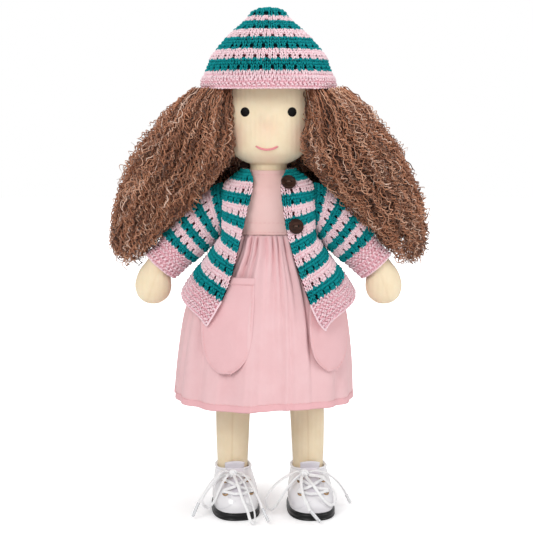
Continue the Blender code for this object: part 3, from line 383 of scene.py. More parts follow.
head_height = crown_height - neck_height
head_rings = [level_ring(neck_height + head_height * up, head_half_width * width,
                         head_half_depth * depth, head_square, 16, centre_y=head_half_depth * shift)
              for up, width, depth, shift in head_sections]
head_net = finer_form(head_rings, along=6, around=8)
nose_share = np.exp(-(((head_net[..., 0] - nose_middle) / nose_spread) ** 2
                      + ((head_net[..., 2] - nose_height) / (nose_spread * 1.15)) ** 2))
head_net[..., 1] -= np.where(head_net[..., 1] < 0, nose_stand_out * nose_share, 0)
neck_crease_height = neck_height + head_height * 0.064
cheek_height = 0.2290
head = stuffed("head", head_net, "head", cotton_jersey("face_jersey", (
    # Blush on both cheeks, then the same warm pink below the nose and on the chin, painted shade where those
    # fall in shadow.
    ((-0.0215, -0.0170, cheek_height), 0.0140, 0.55),
    ((0.0190, -0.0180, cheek_height), 0.0130, 0.45),
    ((-0.0010, -0.0265, 0.2335), 0.0110, 0.26),
    ((0.0, -0.0200, 0.2140), 0.0120, 0.22),
)), "head_skin", "head_stuffing")
# Painted shade: a thin brown line along the crease under the chin.
mark(head, "seam", np.exp(-((head_net[..., 2] - neck_crease_height) / 0.0007) ** 2))

# Reach, drop, lean in degrees, then half height and half depth, along an arm from its shoulder.
shoulder_place = np.array((0.0224, 0.0, 0.188))
arm_reach = 0.0518
arm_fall = 0.0614
arm_radius = 0.0090
arm_sections = (
    (0.000, 0.000, 0, 0.955, 0.955), (0.079, 0.013, 18, 0.975, 0.975), (0.170, 0.052, 34, 0.965, 0.985),
    (0.263, 0.128, 45, 0.900, 0.960), (0.420, 0.265, 48, 0.970, 0.970), (0.595, 0.420, 49, 0.915, 0.915),
    (0.720, 0.531, 50, 0.900, 0.890), (0.842, 0.622, 50, 0.911, 0.890), (0.867, 0.678, 56, 1.044, 0.930),
    (0.905, 0.765, 62, 1.240, 0.960), (0.948, 0.871, 68, 1.200, 0.930), (0.983, 0.953, 70, 0.840, 0.690),
    (0.996, 0.988, 72, 0.420, 0.360), (1.000, 1.000, 72, 0.040, 0.040),
)


def limb_ring(start, reach, drop, lean, half_tall, half_deep, sides, side):
    """A ring across an arm or sleeve, which leaves the shoulder sideways and leans down."""
    angle = np.arange(sides) * 2 * math.pi / sides
    lean = math.radians(lean)
    across = np.array((math.sin(lean), 0, math.cos(lean)))
    centre = start + np.array((arm_reach * reach, 0, -arm_fall * drop))
    ring = (centre + half_deep * np.cos(angle)[:, None] * np.array((0, 1, 0))
            + half_tall * np.sin(angle)[:, None] * across)
    return ring * np.array((side, 1, 1))


arm_sides = 12
for label, side in (("left", 1), ("right", -1)):
    rings = [limb_ring(shoulder_place, reach, drop, lean, arm_radius * tall, arm_radius * deep,
                       arm_sides, side) for reach, drop, lean, tall, deep in arm_sections]
    arm_net, arm_seam = press_seam(finer_form(rings, along=4, around=6), arm_sides * 6 // 2, 0.0001, 0.9)
    arm = stuffed(label + "_arm_form", arm_net, label + "_arm", cotton_jersey(label + "_arm_jersey"),
                  label + "_arm_skin", label + "_arm_stuffing")
    mark(arm, "seam", arm_seam * 0.3)

hip_place = np.array((0.0185, 0.0, 0.111))
ankle_place = np.array((0.0234, 0.0, 0.028))
stance_shift = 0.0011
leg_radius = 0.0115
foot_length = 0.036
foot_turns = {"left": math.radians(5), "right": math.radians(8)}
dome_angles = (0.88, 0.6, 0.3, 0.0)
leg_sections = ((0.800, 0.320, 0.975), (0.590, 0.640, 0.940), (0.373, 0.900, 0.915),
                (0.150, 0.980, 0.865), (0.000, 1.000, 0.815))
foot_sections = ((0.780, 0.835, 0.290, -0.022), (0.540, 0.850, 0.416, -0.153),
                 (0.320, 0.835, 0.500, -0.236), (0.215, 0.740, 0.445, -0.236))


def turned_about(points, centre, angle):
    """Points turned on the ground about an upright axis."""
    cosine, sine = math.cos(angle), math.sin(angle)
    turn = np.array(((cosine, -sine, 0), (sine, cosine, 0), (0, 0, 1)))
    return (points - centre) @ turn.T + centre


def foot_middle(label):
    side = 1 if label == "left" else -1
    return np.array((side * ankle_place[0] + stance_shift, 0, 0))


leg_sides = 12
for label, side in (("left", 1), ("right", -1)):
    hip_x = side * hip_place[0]
    foot = foot_middle(label)
    rings = []
    for share in dome_angles:
        angle = share * math.pi / 2
        radius = leg_radius * math.cos(angle)
        rings.append(level_ring(hip_place[2] + leg_radius * math.sin(angle), radius, radius, 2,
                                leg_sides, hip_x))
    for up, outward, thick in leg_sections:
        height = ankle_place[2] + (hip_place[2] - ankle_place[2]) * up
        rings.append(level_ring(height, leg_radius * thick, leg_radius * thick, 2, leg_sides,
                                hip_x + (foot[0] - hip_x) * outward))
    for up, width, length, shift in foot_sections:
        ring = level_ring(ankle_place[2] * up, leg_radius * width, foot_length * length, 2.2, leg_sides,
                          centre_y=foot_length * shift)
        rings.append(turned_about(ring + foot, foot, foot_turns[label]))
    leg_net, leg_seam = press_seam(finer_form(rings, along=5, around=8), leg_sides * 8 * 3 // 4, 0.00025, 0.8)
    leg = stuffed(label + "_leg_form", leg_net, label + "_leg", cotton_jersey(label + "_leg_jersey"),
                  label + "_leg_skin", label + "_leg_stuffing")
    mark(leg, "seam", leg_seam * 0.6)


# The face
# The eyes are worked in black thread as small flat domes of satin stitches, and the mouth is one
# salmon thread, pulled tight so that its ends sink into the jersey.
eye_radius = 0.0030
eye_thickness = 0.0011
eye_stitches = 26
eye_rings = 7


def face_depth(x, z):
    """How far in front of the middle the head's surface is at a point of the face."""
    front = head_net[..., 1] < 0
    near = (head_net[..., 0][front] - x) ** 2 + (head_net[..., 2][front] - z) ** 2
    nearest = np.argsort(near)[:6]
    weight = 1 / (near[nearest] + 1e-9)
    return float((head_net[..., 1][front][nearest] * weight).sum() / weight.sum())


def satin_black(name):
    made = new_finish(name, (0.004, 0.004, 0.004), 0.5, {"Specular IOR Level": 0.10})
    threads = noise_at(made, 2600, 2, (1, 1, 0.12))
    raised(made, threads, 0.00008, 0.6)
    colour = blend_colours(made, threads, (0.002, 0.002, 0.002), (0.008, 0.007, 0.007))
    set_shader(made, {"Base Color": colour})
    return made


for label in ("left", "right"):
    low, high = (np.array(corner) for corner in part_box(label + "_eye"))
    middle = (low + high) / 2
    side = math.copysign(1, middle[0])
    here = np.array((middle[0], face_depth(middle[0], middle[2]), middle[2]))
    slope = (face_depth(middle[0] + 0.002 * side, middle[2]) - here[1]) / (0.002 * side)
    outward = np.array((slope, -1, 0))
    outward /= np.linalg.norm(outward)
    sideways = np.cross(outward, (0, 0, 1))
    points = []
    for ring in range(eye_rings):
        reach = (ring + 0.15) / (eye_rings - 1 + 0.15)
        for step in range(eye_stitches * 2):
            angle = math.pi * step / eye_stitches
            out = eye_radius * reach * (1 + 0.02 * (step % 2) * reach)
            dome = eye_thickness * (1 - reach ** 2.6) + 0.00006 * (step % 2) - 0.0002
            points.append(here + sideways * out * math.cos(angle)
                          + np.array((0, 0, 1)) * out * math.sin(angle) + outward * dome)
    faces = grid_faces(eye_rings, eye_stitches * 2, closed=True).tolist()
    faces.append(list(range(eye_stitches * 2))[::-1])
    eye = add_mesh(label + "_eye_stitches", points, faces, satin_black(label + "_eye_thread"))
    belongs(eye, "head", "black_enamel", label + "_eye")


def tubes(paths, radius, sides):
    """Points and faces of many thin tubes of one length in points, each along its own path."""
    paths = np.asarray(paths, float)
    count, length = paths.shape[:2]
    along = np.gradient(paths, axis=1)
    along /= np.maximum(np.linalg.norm(along, axis=2, keepdims=True), 1e-12)
    across = np.empty_like(paths)
    start = np.cross(along[:, 0], (0.31, 0.87, 0.38))
    for step in range(length):
        start = start - along[:, step] * np.sum(start * along[:, step], axis=1, keepdims=True)
        start /= np.maximum(np.linalg.norm(start, axis=1, keepdims=True), 1e-12)
        across[:, step] = start
    beside = np.cross(along, across)
    turn = np.arange(sides) * 2 * math.pi / sides
    radius = np.broadcast_to(radius, (count, length))[:, :, None, None]
    rings = paths[:, :, None] + radius * (across[:, :, None] * np.cos(turn)[:, None]
                                          + beside[:, :, None] * np.sin(turn)[:, None])
    one = grid_faces(length, sides, closed=True)[:, ::-1]
    faces = (one[None] + (np.arange(count) * length * sides)[:, None, None]).reshape(-1, 4)
    return rings.reshape(-1, 3), faces


def tube_piece(name, paths, radius, sides, finish):
    return add_mesh(name, *tubes(paths, radius, sides), finish)


def mottled(made, scale, first, second, detail=3.0):
    """Gives a material a colour that varies between two in spots, so many of them a metre."""
    set_shader(made, {"Base Color": blend_colours(made, noise_at(made, scale, detail), first, second)})


mouth_middle = -0.0009
mouth_half_width = 0.0068
mouth_height = 0.2233
mouth_droop = 0.0022
mouth_thread = 0.00044
mouth_turns = 9
mouth_points = 73
across = np.linspace(-1, 1, mouth_points)
smile = np.array([(mouth_middle + x * mouth_half_width,
                   face_depth(mouth_middle + x * mouth_half_width, mouth_height - mouth_droop * (1 - x * x)),
                   mouth_height - mouth_droop * (1 - x * x)) for x in across])
smile[:, 1] += 0.0010 * np.abs(across) ** 14 - 0.0002
plies = []
for ply in (0, 1):
    twist = across * mouth_turns * math.pi + ply * math.pi
    turned = np.stack([np.zeros(mouth_points), np.cos(twist), np.sin(twist)], axis=-1)
    plies.append(smile + mouth_thread * 0.7 * turned)
thinning = mouth_thread * (0.62 + 0.38 * np.clip((1 - np.abs(across)) / 0.25, 0, 1))
salmon = new_finish("salmon_thread", (0.78, 0.27, 0.29), 0.6)
thread_colour = blend_colours(salmon, noise_at(salmon, 1800), (0.72, 0.22, 0.25), (0.86, 0.36, 0.37))
# Painted shade: the thread darkens at both ends, where they sink into the jersey.
for mouth_end in (0, -1):
    sunk_end_shade = soft_spot(salmon, tuple(smile[mouth_end]), 0.0019)
    thread_colour = blend_colours(salmon, sunk_end_shade, thread_colour, (0.30, 0.09, 0.04))
set_shader(salmon, {"Base Color": thread_colour})
raised(salmon, noise_at(salmon, 5000), 0.00005, 0.5)
mouth = tube_piece("mouth_thread", plies, thinning[None], 6, salmon)
belongs(mouth, "head", "lip_thread", "mouth_stitch")


# The hair
# Long brown mohair in crimped locks, sewn to the head under the hat. It falls in two full side masses
# and one behind; a dark inner mass in painted shade stands for the shaded locks that nobody sees.
from_hair = np.random.default_rng(7)
hair_top = 0.2559
hair_length = 0.1049
hair_reach = 0.0940
hair_front = 0.0310
hair_behind = 0.0460
hair_square = 2.8
lock_thread = 0.00031
lock_points = 155
threads_in_lock = 4
batch_locks = 50
side_batches = 4
curl_depth = 0.00080
curl_length = 0.0044

# Share of the way down, then the inner and outer side, the front and the back of a side mass.
side_mass = np.array((
    (0.000, 0.215, 0.470, -0.81, 0.58), (0.055, 0.215, 0.550, -0.90, 0.62),
    (0.150, 0.215, 0.650, -0.97, 0.66), (0.265, 0.218, 0.745, -1.00, 0.68),
    (0.380, 0.252, 0.835, -1.00, 0.69), (0.465, 0.352, 0.885, -0.90, 0.70),
    (0.580, 0.484, 0.937, -0.71, 0.72), (0.675, 0.565, 0.973, -0.58, 0.72),
    (0.770, 0.655, 0.995, -0.45, 0.70), (0.866, 0.740, 1.000, -0.32, 0.64),
    (0.942, 0.820, 0.980, -0.19, 0.56), (1.000, 0.852, 0.935, 0.00, 0.44),
))

# Share of the way down, half width, then the front and the back of the mass behind.
back_mass = np.array((
    (0.000, 0.208, 0.00, 0.69), (0.150, 0.208, 0.00, 0.78), (0.265, 0.225, 0.00, 0.82),
    (0.380, 0.290, 0.18, 0.85), (0.430, 0.350, 0.33, 0.88), (0.475, 0.380, 0.56, 0.90),
    (0.580, 0.478, 0.64, 0.93), (0.675, 0.560, 0.68, 0.95), (0.770, 0.650, 0.71, 0.96),
    (0.860, 0.700, 0.735, 0.95), (0.933, 0.610, 0.755, 0.94), (1.000, 0.420, 0.780, 0.91),
))


def read_rows(table, share):
    """Every column of a table, at shares of its first column, on a smooth curve through its rows."""
    fine = finer(np.asarray(table, float), 8)
    return [np.interp(share, fine[:, 0], fine[:, k]) for k in range(1, fine.shape[1])]


def mohair(name):
    """Mohair from dark roots to pale sun-bleached threads, by each thread's own shade."""
    made = new_finish(name, (0.24, 0.10, 0.055), 0.5, {
        "Sheen Weight": 0.2, "Sheen Roughness": 0.4, "Specular IOR Level": 0.35})
    spots = ramp(made, noise_at(made, 300, 2), 0.3, 0.7, -0.12, 0.12)
    both = add_node(made, "Math", {0: marked(made, "shade"), 1: spots})
    dye = add_node(made, "ValToRGB", {"Fac": both.outputs[0]})
    shades = dye.color_ramp.elements
    shades[0].color = (0.055, 0.020, 0.009, 1)
    shades[1].color = (0.800, 0.570, 0.450, 1)
    for place, colour in ((0.30, (0.250, 0.088, 0.040, 1)), (0.55, (0.510, 0.215, 0.112, 1)),
                          (0.80, (0.690, 0.375, 0.235, 1))):
        shades.new(place).color = colour
    set_shader(made, {"Base Color": dye.outputs["Color"]})
    raised(made, noise_at(made, 4500, 2), 0.00008, 0.5)
    return made


hair_finish = mohair("brown_mohair_locks")


def hang_hair(piece, node):
    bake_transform(piece)
    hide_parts(node)


def shaded_hair_core(name, net, shade, node):
    """The inner part of a mass of hair, dark with painted shade where its hidden locks lie in shadow."""
    mass = skinned(name, net, hair_finish)
    mark(mass, "shade", np.full(len(mass.data.vertices), shade))
    hang_hair(mass, node)


def side_middle(down, across, depth, side):
    """Points within a side mass, across and depth from -1 to 1 out to its rounded sides."""
    inner, outer, front, back = read_rows(side_mass, down)
    over_shoulder = (np.clip(-depth, 0, 1) * np.clip(-across + 0.3, 0, 1)
                     * np.exp(-((down - 0.58) / 0.22) ** 2))
    x = hair_reach * ((inner + outer) / 2 + (outer - inner) / 2 * across - 0.085 * over_shoulder)
    y_front, y_back = hair_front * front, hair_behind * back
    y = (y_front + y_back) / 2 + (y_back - y_front) / 2 * depth
    z = hair_top - hair_length * down
    return np.stack([side * x, y, z], axis=-1)


def curled(middle, locks, frizz=1.0):
    """Threads gathered in locks round the given middles, in loose uneven curls that open at their ends."""
    count, length = middle.shape[:2]
    lock_of = np.repeat(np.arange(locks), threads_in_lock)[:count]
    along = np.gradient(middle, axis=1)
    step = np.linalg.norm(along, axis=2, keepdims=True)
    along = along / step
    run = np.cumsum(step[..., 0], axis=1)
    across = np.cross(along, (0, 1, 0))
    across /= np.maximum(np.linalg.norm(across, axis=2, keepdims=True), 1e-9)
    beside = np.cross(along, across)
    share = run / run[:, -1:]
    opened = np.clip(share * 3, 0, 1)
    own = from_hair.uniform(0, 1, count) < 0.5
    pitch = curl_length * np.where(own, from_hair.uniform(0.65, 1.5, count),
                                   from_hair.uniform(0.75, 1.3, locks)[lock_of])
    start = np.where(own, from_hair.uniform(0, 2 * math.pi, count),
                     from_hair.uniform(0, 2 * math.pi, locks)[lock_of] + from_hair.normal(0, 0.5, count))
    angle = 2 * math.pi * run / pitch[:, None] + start[:, None]
    for length_of_drift in (0.011, 0.023):
        angle = angle + 1.3 * np.sin(2 * math.pi * run / length_of_drift
                                     + from_hair.uniform(0, 2 * math.pi, (count, 1)))
    depth = frizz * curl_depth * from_hair.uniform(0.5, 1.6, count)[:, None]
    depth = depth * (0.30 + 0.70 * opened + 0.9 * np.clip((share - 0.86) / 0.14, 0, 1))
    depth = depth * (1 + 0.35 * np.sin(2 * math.pi * run / 0.017 + start[:, None] * 3))
    slow = from_hair.uniform(0, 2 * math.pi, (locks, 2))[lock_of]
    bend = from_hair.uniform(0.0034, 0.0060, (locks, 2))[lock_of]
    wander = frizz * 0.0017 * opened
    loose = frizz * 0.00045 * opened
    ways = from_hair.uniform(0, 2 * math.pi, (count, 2))
    gather = from_hair.normal(0, 0.0010, (count, 2)) * (0.4 + 0.6 * share[:, -1:])
    one = (depth * np.sin(angle) + wander * np.sin(run / bend[:, :1] + slow[:, :1])
           + gather[:, :1] + loose * np.sin(run / 0.0017 + ways[:, :1]))
    two = (depth * 0.8 * np.cos(angle) + wander * 0.7 * np.cos(run / bend[:, 1:] + slow[:, 1:])
           + gather[:, 1:] + loose * np.cos(run / 0.0021 + ways[:, 1:]))
    return middle + across * one[..., None] + beside * two[..., None]


def lay_locks(name, middle, locks, node, frizz=1.0):
    """A batch of locks as thin tubes, each thread with its own shade."""
    paths = curled(middle, locks, frizz)
    paths[..., 2] = np.maximum(paths[..., 2], hair_top - hair_length - 0.004)
    count, length = paths.shape[:2]
    share = np.linspace(0, 1, length)
    radius = (lock_thread * (1 - 0.75 * np.clip((share - 0.9) / 0.1, 0, 1))
              * from_hair.uniform(0.65, 1.25, (count, 1)))
    piece = tube_piece(name, paths, radius, 3, hair_finish)
    shades = np.clip(np.repeat(from_hair.normal(0.46, 0.15, locks), threads_in_lock)[:count]
                     + from_hair.normal(0, 0.22, count), 0.05, 1)
    mark(piece, "shade", np.repeat(shades, length * 3))
    hang_hair(piece, node)


def rounded(turn, out):
    """Places across and in depth round a mass's side, at a share of the way out."""
    across, depth = squared(turn, hair_square)
    return across * out, depth * out


def whole_locks(*values):
    """The same value for all threads of each lock."""
    return (np.repeat(value, threads_in_lock) for value in values)


stray_curls = 600
stray_points = 48
mass_sides = 48
mass_share = 0.78
mass_turn = np.linspace(0, 2 * math.pi, mass_sides, endpoint=False)
for label, side in (("left", 1), ("right", -1)):
    node = "hair_" + label
    net = np.stack([side_middle(np.full(mass_sides, level),
                                *rounded(mass_turn, mass_share * min(1, 0.35 + 7 * level)), side)
                    for level in np.linspace(0.015, 0.84, 40)])
    shaded_hair_core(label + "_hair_mass", net, 0.08, node)
    for batch in range(side_batches):
        turn = from_hair.uniform(0, 2 * math.pi, batch_locks)
        out = 1.03 - 0.25 * from_hair.uniform(0, 1, batch_locks) ** 1.2
        across, depth = rounded(turn, out)
        ends = 1.0 - 0.30 * from_hair.uniform(0, 1, batch_locks) ** 0.8
        across, depth, ends = whole_locks(across, depth, ends)
        ends = np.clip(ends + from_hair.normal(0, 0.03, len(ends)), 0.6, 1.0)
        down = np.linspace(0, 1, lock_points)[None] * ends[:, None]
        middle = side_middle(down, across[:, None], depth[:, None], side)
        lay_locks(f"{label}_hair_locks_{batch + 1}", middle, batch_locks, node)
    # Short loose curls that stand a little away from the mass, most of them along its outer side.
    turn = from_hair.uniform(-0.75 * math.pi, 0.75 * math.pi, stray_curls)
    across, depth = rounded(turn, 1.0)
    starts = from_hair.uniform(0.03, 0.86, stray_curls)
    reach = from_hair.uniform(0.10, 0.20, stray_curls)
    share = np.linspace(0, 1, stray_points)[None]
    down = np.clip(starts[:, None] + reach[:, None] * share, 0, 1.0)
    stand_off = 0.98 + from_hair.uniform(0.02, 0.20, (stray_curls, 1)) * share ** 1.2
    middle = side_middle(down, across[:, None] * stand_off, depth[:, None] * stand_off, side)
    lay_locks(label + "_stray_curls", middle, stray_curls // threads_in_lock, node, frizz=1.15)


def back_middle(down, across, depth):
    """Points within the mass behind: across from side to side, depth 0 at its front and 1 at its back."""
    half_width, front, back = read_rows(back_mass, down)
    x = hair_reach * half_width * across
    y = hair_behind * (front + (back - front) * depth)
    z = hair_top - hair_length * down
    return np.stack([x, y, z], axis=-1)


round_x = rounded(mass_turn, 0.90)[0]
round_y = rounded(mass_turn, 0.40)[1] + 0.46
net = np.stack([back_middle(np.full(mass_sides, level), round_x, round_y)
                for level in np.linspace(0, 0.94, 36)])
shaded_hair_core("back_hair_mass", net, 0.08, "hair_back")
for batch in range(4):
    across = from_hair.uniform(-1, 1, batch_locks)
    if batch == 3:
        across = np.sign(across) * (0.45 + 0.6 * np.abs(across))
        depth = 0.35 * from_hair.uniform(0, 1, batch_locks)
    else:
        depth = 1 - 0.22 * from_hair.uniform(0, 1, batch_locks) ** 1.5 - 0.35 * np.abs(across) ** 6
    ends = from_hair.uniform(0.88, 1.0, batch_locks)
    across, depth, ends = whole_locks(across, depth, ends)
    down = np.linspace(0, 1, lock_points)[None] * ends[:, None]
    middle = back_middle(down, across[:, None], depth[:, None])
    lay_locks(f"back_hair_locks_{batch + 1}", middle, batch_locks, "hair_back")

# The hair under the hat, combed from the crown to the brim: each row's radius and height.
crown_hair = np.array(((0.0010, 0.2942), (0.0080, 0.2930), (0.0150, 0.2890), (0.0212, 0.2825),
                       (0.0262, 0.2765), (0.0300, 0.2705), (0.0325, 0.2645), (0.0340, 0.2590),
                       (0.0346, 0.2545)))
crown_locks = 110
crown_points = 70
forehead_flattening = 0.16


def over_crown(turn, run):
    """Points on the hair under the hat, by direction and share of the way from the crown to the brim."""
    fine = finer(crown_hair, 8)
    reach, height = (np.interp(run, np.linspace(0, 1, len(fine)), fine[:, k]) for k in (0, 1))
    reach = reach * (1 - forehead_flattening * np.clip(-np.sin(turn), 0, 1) ** 1.5)
    return np.stack(np.broadcast_arrays(reach * np.cos(turn), reach * np.sin(turn), height), axis=-1)


net = over_crown(mass_turn[None], np.linspace(0, 0.88, 24)[:, None]) * (0.94, 0.94, 1)
shaded_hair_core("crown_hair_mass", net - (0, 0, 0.0012), 0.12, "hair_back")
turn = np.arange(crown_locks) + from_hair.uniform(-0.4, 0.4, crown_locks)
turn = np.repeat(turn * 2 * math.pi / crown_locks, threads_in_lock)
turn = turn + from_hair.normal(0, 0.012, len(turn))
ends = np.where(np.sin(turn) < -0.45, 0.90, 1.0) - from_hair.uniform(0, 0.015, len(turn))
run = np.linspace(0, 1, crown_points)[None] ** 0.8 * ends[:, None]
lay_locks("crown_hair_locks", over_crown(turn[:, None], run), crown_locks, "hair_back", frizz=0.55)


# The dress
# Light pink cotton: a plain bodice with a flat waist seam, a gathered skirt in soft folds, and two
# rounded patch pockets, each turned under and stitched round its edge.
dress_pink = (0.840, 0.565, 0.580)
dress_deep = (0.765, 0.440, 0.455)
bodice_pink = (0.865, 0.600, 0.570)
bodice_deep = (0.800, 0.480, 0.450)
pocket_pink = (0.825, 0.520, 0.540)
hem_pink = (0.850, 0.470, 0.500)
dress_cloth = 0.0009
waist_height = 0.1700
hem_height = 0.0698
skirt_half_width = 0.0536
skirt_half_depth = 0.0460
skirt_swing = 0.0034
fold_depth = 0.0018
fold_count = 15
gather_count = 62
skirt_square = 2.3
thread_pitch = 0.00042


def woven_cotton(name, colour, deep):
    """Plain-woven cotton from crossed threads in the cloth's own directions, with painted shade between the
    threads and soft creases.
    """
    made = new_finish(name, colour, 0.85, {
        "Sheen Weight": 0.15, "Sheen Roughness": 0.5, "Specular IOR Level": 0.2})
    cut = add_node(made, "UVMap", uv_map="cut").outputs[0]
    warp, weft = (add_node(made, "TexWave", {
        "Vector": cut, "Scale": math.pi / (10 * thread_pitch), "Distortion": 0.6, "Detail": 1.0},
        bands_direction=direction).outputs["Fac"] for direction in ("X", "Y"))
    crossed = add_node(made, "Math", {0: warp, 1: weft}, operation="MULTIPLY").outputs[0]
    uneven = ramp(made, noise_at(made, 90, 4), 0.3, 0.75, 0.0, 0.45)
    dyed = blend_colours(made, uneven, colour, deep)
    # Painted shade: the colour deepens where the crossed threads dip, in the gaps between them.
    weave_gap_shade = ramp(made, crossed, 0.0, 1.0, 0.25, 0.0)
    set_shader(made, {"Base Color": blend_colours(made, weave_gap_shade, dyed, deep)})
    low = raised(made, crossed, 0.00006, 0.7)
    raised(made, noise_at(made, 110, 3), 0.0012, 0.6, under=low)
    return made


pink_cotton = woven_cotton("pink_cotton_weave", dress_pink, dress_deep)
hem_cotton = woven_cotton("hem_cotton_weave", hem_pink, dress_deep)
pocket_cotton = woven_cotton("pocket_cotton_weave", pocket_pink, dress_deep)
bodice_cotton = woven_cotton("bodice_cotton_weave", bodice_pink, bodice_deep)


def run_along(path):
    """How far along a path each of its points is."""
    return np.concatenate([[0], np.cumsum(np.linalg.norm(np.diff(path, axis=0), axis=1))])


def points_at(path, at):
    """Points of a path at distances along it."""
    run = run_along(path)
    return np.stack([np.interp(at, run, path[:, k]) for k in range(3)], axis=-1)


def lay_cut(piece, across, down):
    """Keeps the cloth's own measures on a piece, so that its threads run with its cut."""
    flat = np.stack([np.ravel(across), np.ravel(down)], axis=-1)
    corner = np.empty(len(piece.data.loops), np.int32)
    piece.data.loops.foreach_get("vertex_index", corner)
    cut = piece.data.uv_layers.new(name="cut")
    cut.data.foreach_set("uv", flat[corner].astype(np.float32).ravel())


def cloth_piece(name, net, thickness, finish, closed=False, keep=None):
    """A sheet of cloth on a net of points, with its cut laid on it and its thickness given."""
    rows, columns = net.shape[:2]
    faces = grid_faces(rows, columns, closed)
    if keep is not None:
        faces = faces[keep.ravel()]
    piece = add_mesh(name, net.reshape(-1, 3), faces, finish)
    lay_cut(piece, np.broadcast_to(run_along(net[rows // 2]), (rows, columns)),
            np.broadcast_to(run_along(net.mean(axis=1))[:, None], (rows, columns)))
    thick = piece.modifiers.new("cloth", "SOLIDIFY")
    thick.thickness = thickness
    thick.offset = 0
    return piece


def outward_of(net, centre=(0, 0)):
    """The direction square off a net at each of its points, away from an upright line."""
    normal = np.cross(np.gradient(net, axis=0), np.gradient(net, axis=1))
    normal /= np.maximum(np.linalg.norm(normal, axis=2, keepdims=True), 1e-12)
    away = net[..., :2] - np.asarray(centre)
    return -normal if np.sum(normal[..., :2] * away, axis=2).mean() < 0 else normal


def running_stitches(name, path, length, spacing, thread, finish):
    """Short stitches laid end to end along a path of points, a little sunk at their ends."""
    path = np.asarray(path, float)
    starts = np.arange(spacing / 2, run_along(path)[-1] - length, length + spacing)
    share = np.linspace(0, 1, 6)
    paths = points_at(path, starts[:, None] + share[None] * length)
    return tube_piece(name, paths, thread * (0.55 + 0.45 * np.sin(math.pi * share))[None], 5, finish)


sewing_thread = new_finish("pink_sewing_thread", (0.83, 0.46, 0.46), 0.6)
mottled(sewing_thread, 3000, (0.78, 0.40, 0.41), (0.88, 0.54, 0.53))
raised(sewing_thread, noise_at(sewing_thread, 6000), 0.00004, 0.5)


def hang(piece, node):
    """Cloth baked in place where it lies, standing for its solid, which is hidden."""
    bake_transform(piece)
    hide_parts(node)


# Share of the way down, half width, half depth, sideways swing and fold depth.
skirt_sections = (
    (0.000, 0.446, 0.426, 0.00, 0.20), (0.010, 0.446, 0.426, 0.00, 0.20),
    (0.098, 0.519, 0.511, 0.00, 0.55), (0.178, 0.616, 0.587, 0.12, 0.75),
    (0.300, 0.756, 0.696, 0.30, 0.90), (0.480, 0.886, 0.815, 0.60, 1.00),
    (0.750, 0.963, 0.924, 0.78, 1.00), (1.000, 1.000, 1.000, 1.00, 0.90),
)


# Direction round the skirt, lean, reach down and depth of the folds that start in the gathers.
long_folds = tuple((3 * math.pi / 2 + at, lean, reach, deep) for at, lean, reach, deep in (
    (-0.62, 0.10, 0.45, 0.9), (-0.42, 0.06, 0.60, 1.1), (-0.26, 0.05, 0.40, 0.8), (-0.13, 0.02, 0.75, 1.2),
    (0.02, 0.00, 0.35, 0.8), (0.12, -0.02, 0.60, 1.0), (0.27, -0.03, 0.45, 0.9), (-0.09, 0.00, 2.00, 0.8),
    (0.21, 0.00, 2.00, 0.8), (0.40, -0.06, 0.70, 1.1), (0.58, -0.08, 0.40, 0.9), (1.3, 0.0, 0.5, 0.9),
    (1.9, 0.0, 0.7, 1.1), (2.6, 0.0, 0.5, 0.9), (3.3, 0.0, 0.7, 1.0), (4.1, 0.0, 0.5, 1.0),
    (4.8, 0.0, 0.6, 0.9)))


def skirt_net(down, around, lift=0.0):
    """The skirt's folds: share of the way down by share of the way round."""
    width, depth, swing, fold = (value[:, None] for value in read_rows(skirt_sections, down))
    angle = 2 * math.pi * around[None]
    down = down[:, None]
    across, along = squared(angle, skirt_square)
    x = skirt_half_width * width * across
    y = skirt_half_depth * depth * along
    out = np.stack([x / np.hypot(x, y), y / np.hypot(x, y)])
    uneven = 0.80 + 0.35 * np.sin(angle * 2 + 1.1) * np.sin(angle * 5 + 0.4)
    drift = 0.60 * np.sin(angle * 3 + 0.7 + 1.2 * down)
    wave = (uneven * np.cos(fold_count * angle + drift)
            - 0.30 * np.abs(np.cos(fold_count * angle / 2 + drift / 2)) ** 8
            + 0.35 * np.cos(8 * angle + 0.9 + 0.8 * down))
    started = np.clip(down / 0.02, 0, 1)
    gathers = np.cos(gather_count * angle + 1.4 * np.sin(angle * 7)) * np.exp(-(down / 0.10) ** 1.3)
    pleats = np.zeros_like(wave)
    for across_at, lean, reach, deep in long_folds:
        bend = np.arctan2(np.sin(angle - across_at), np.cos(angle - across_at)) + lean * down
        fading = deep * np.exp(-(down / reach) ** 2)
        pleats = pleats + fading * (np.exp(-(bend / 0.030) ** 2) - 0.7 * np.exp(-((bend - 0.055) / 0.030) ** 2))
    off = fold_depth * fold * wave + (0.00055 * gathers + 0.00170 * pleats) * started
    off = off + dress_cloth / 2 + lift
    z = waist_height - (waist_height - hem_height) * down + 0.0006 * np.sin(angle * 4) * down
    x = x + out[0] * off - skirt_swing * swing
    y = y + out[1] * off
    return np.stack([x, y, np.broadcast_to(z, x.shape)], axis=-1)


skirt_down = np.concatenate([np.linspace(0, 0.2, 24, endpoint=False), np.linspace(0.2, 1, 50)])
skirt_around = np.arange(480) / 480
skirt = cloth_piece("gathered_skirt", skirt_net(skirt_down, skirt_around), dress_cloth, pink_cotton,
                    closed=True)
hem_net = skirt_net(np.linspace(0.965, 1.003, 6), skirt_around, dress_cloth * 0.35)
hem_band = cloth_piece("turned_hem", hem_net, dress_cloth * 0.6, hem_cotton, closed=True)
hem_round = skirt_net(np.array((0.962,)), np.append(skirt_around, 0), dress_cloth * 0.55)[0]
hem_line = running_stitches("hem_stitches", hem_round, 0.0017, 0.0009, 0.00016, sewing_thread)
for piece in (skirt, hem_band, hem_line):
    hang(piece, "skirt")

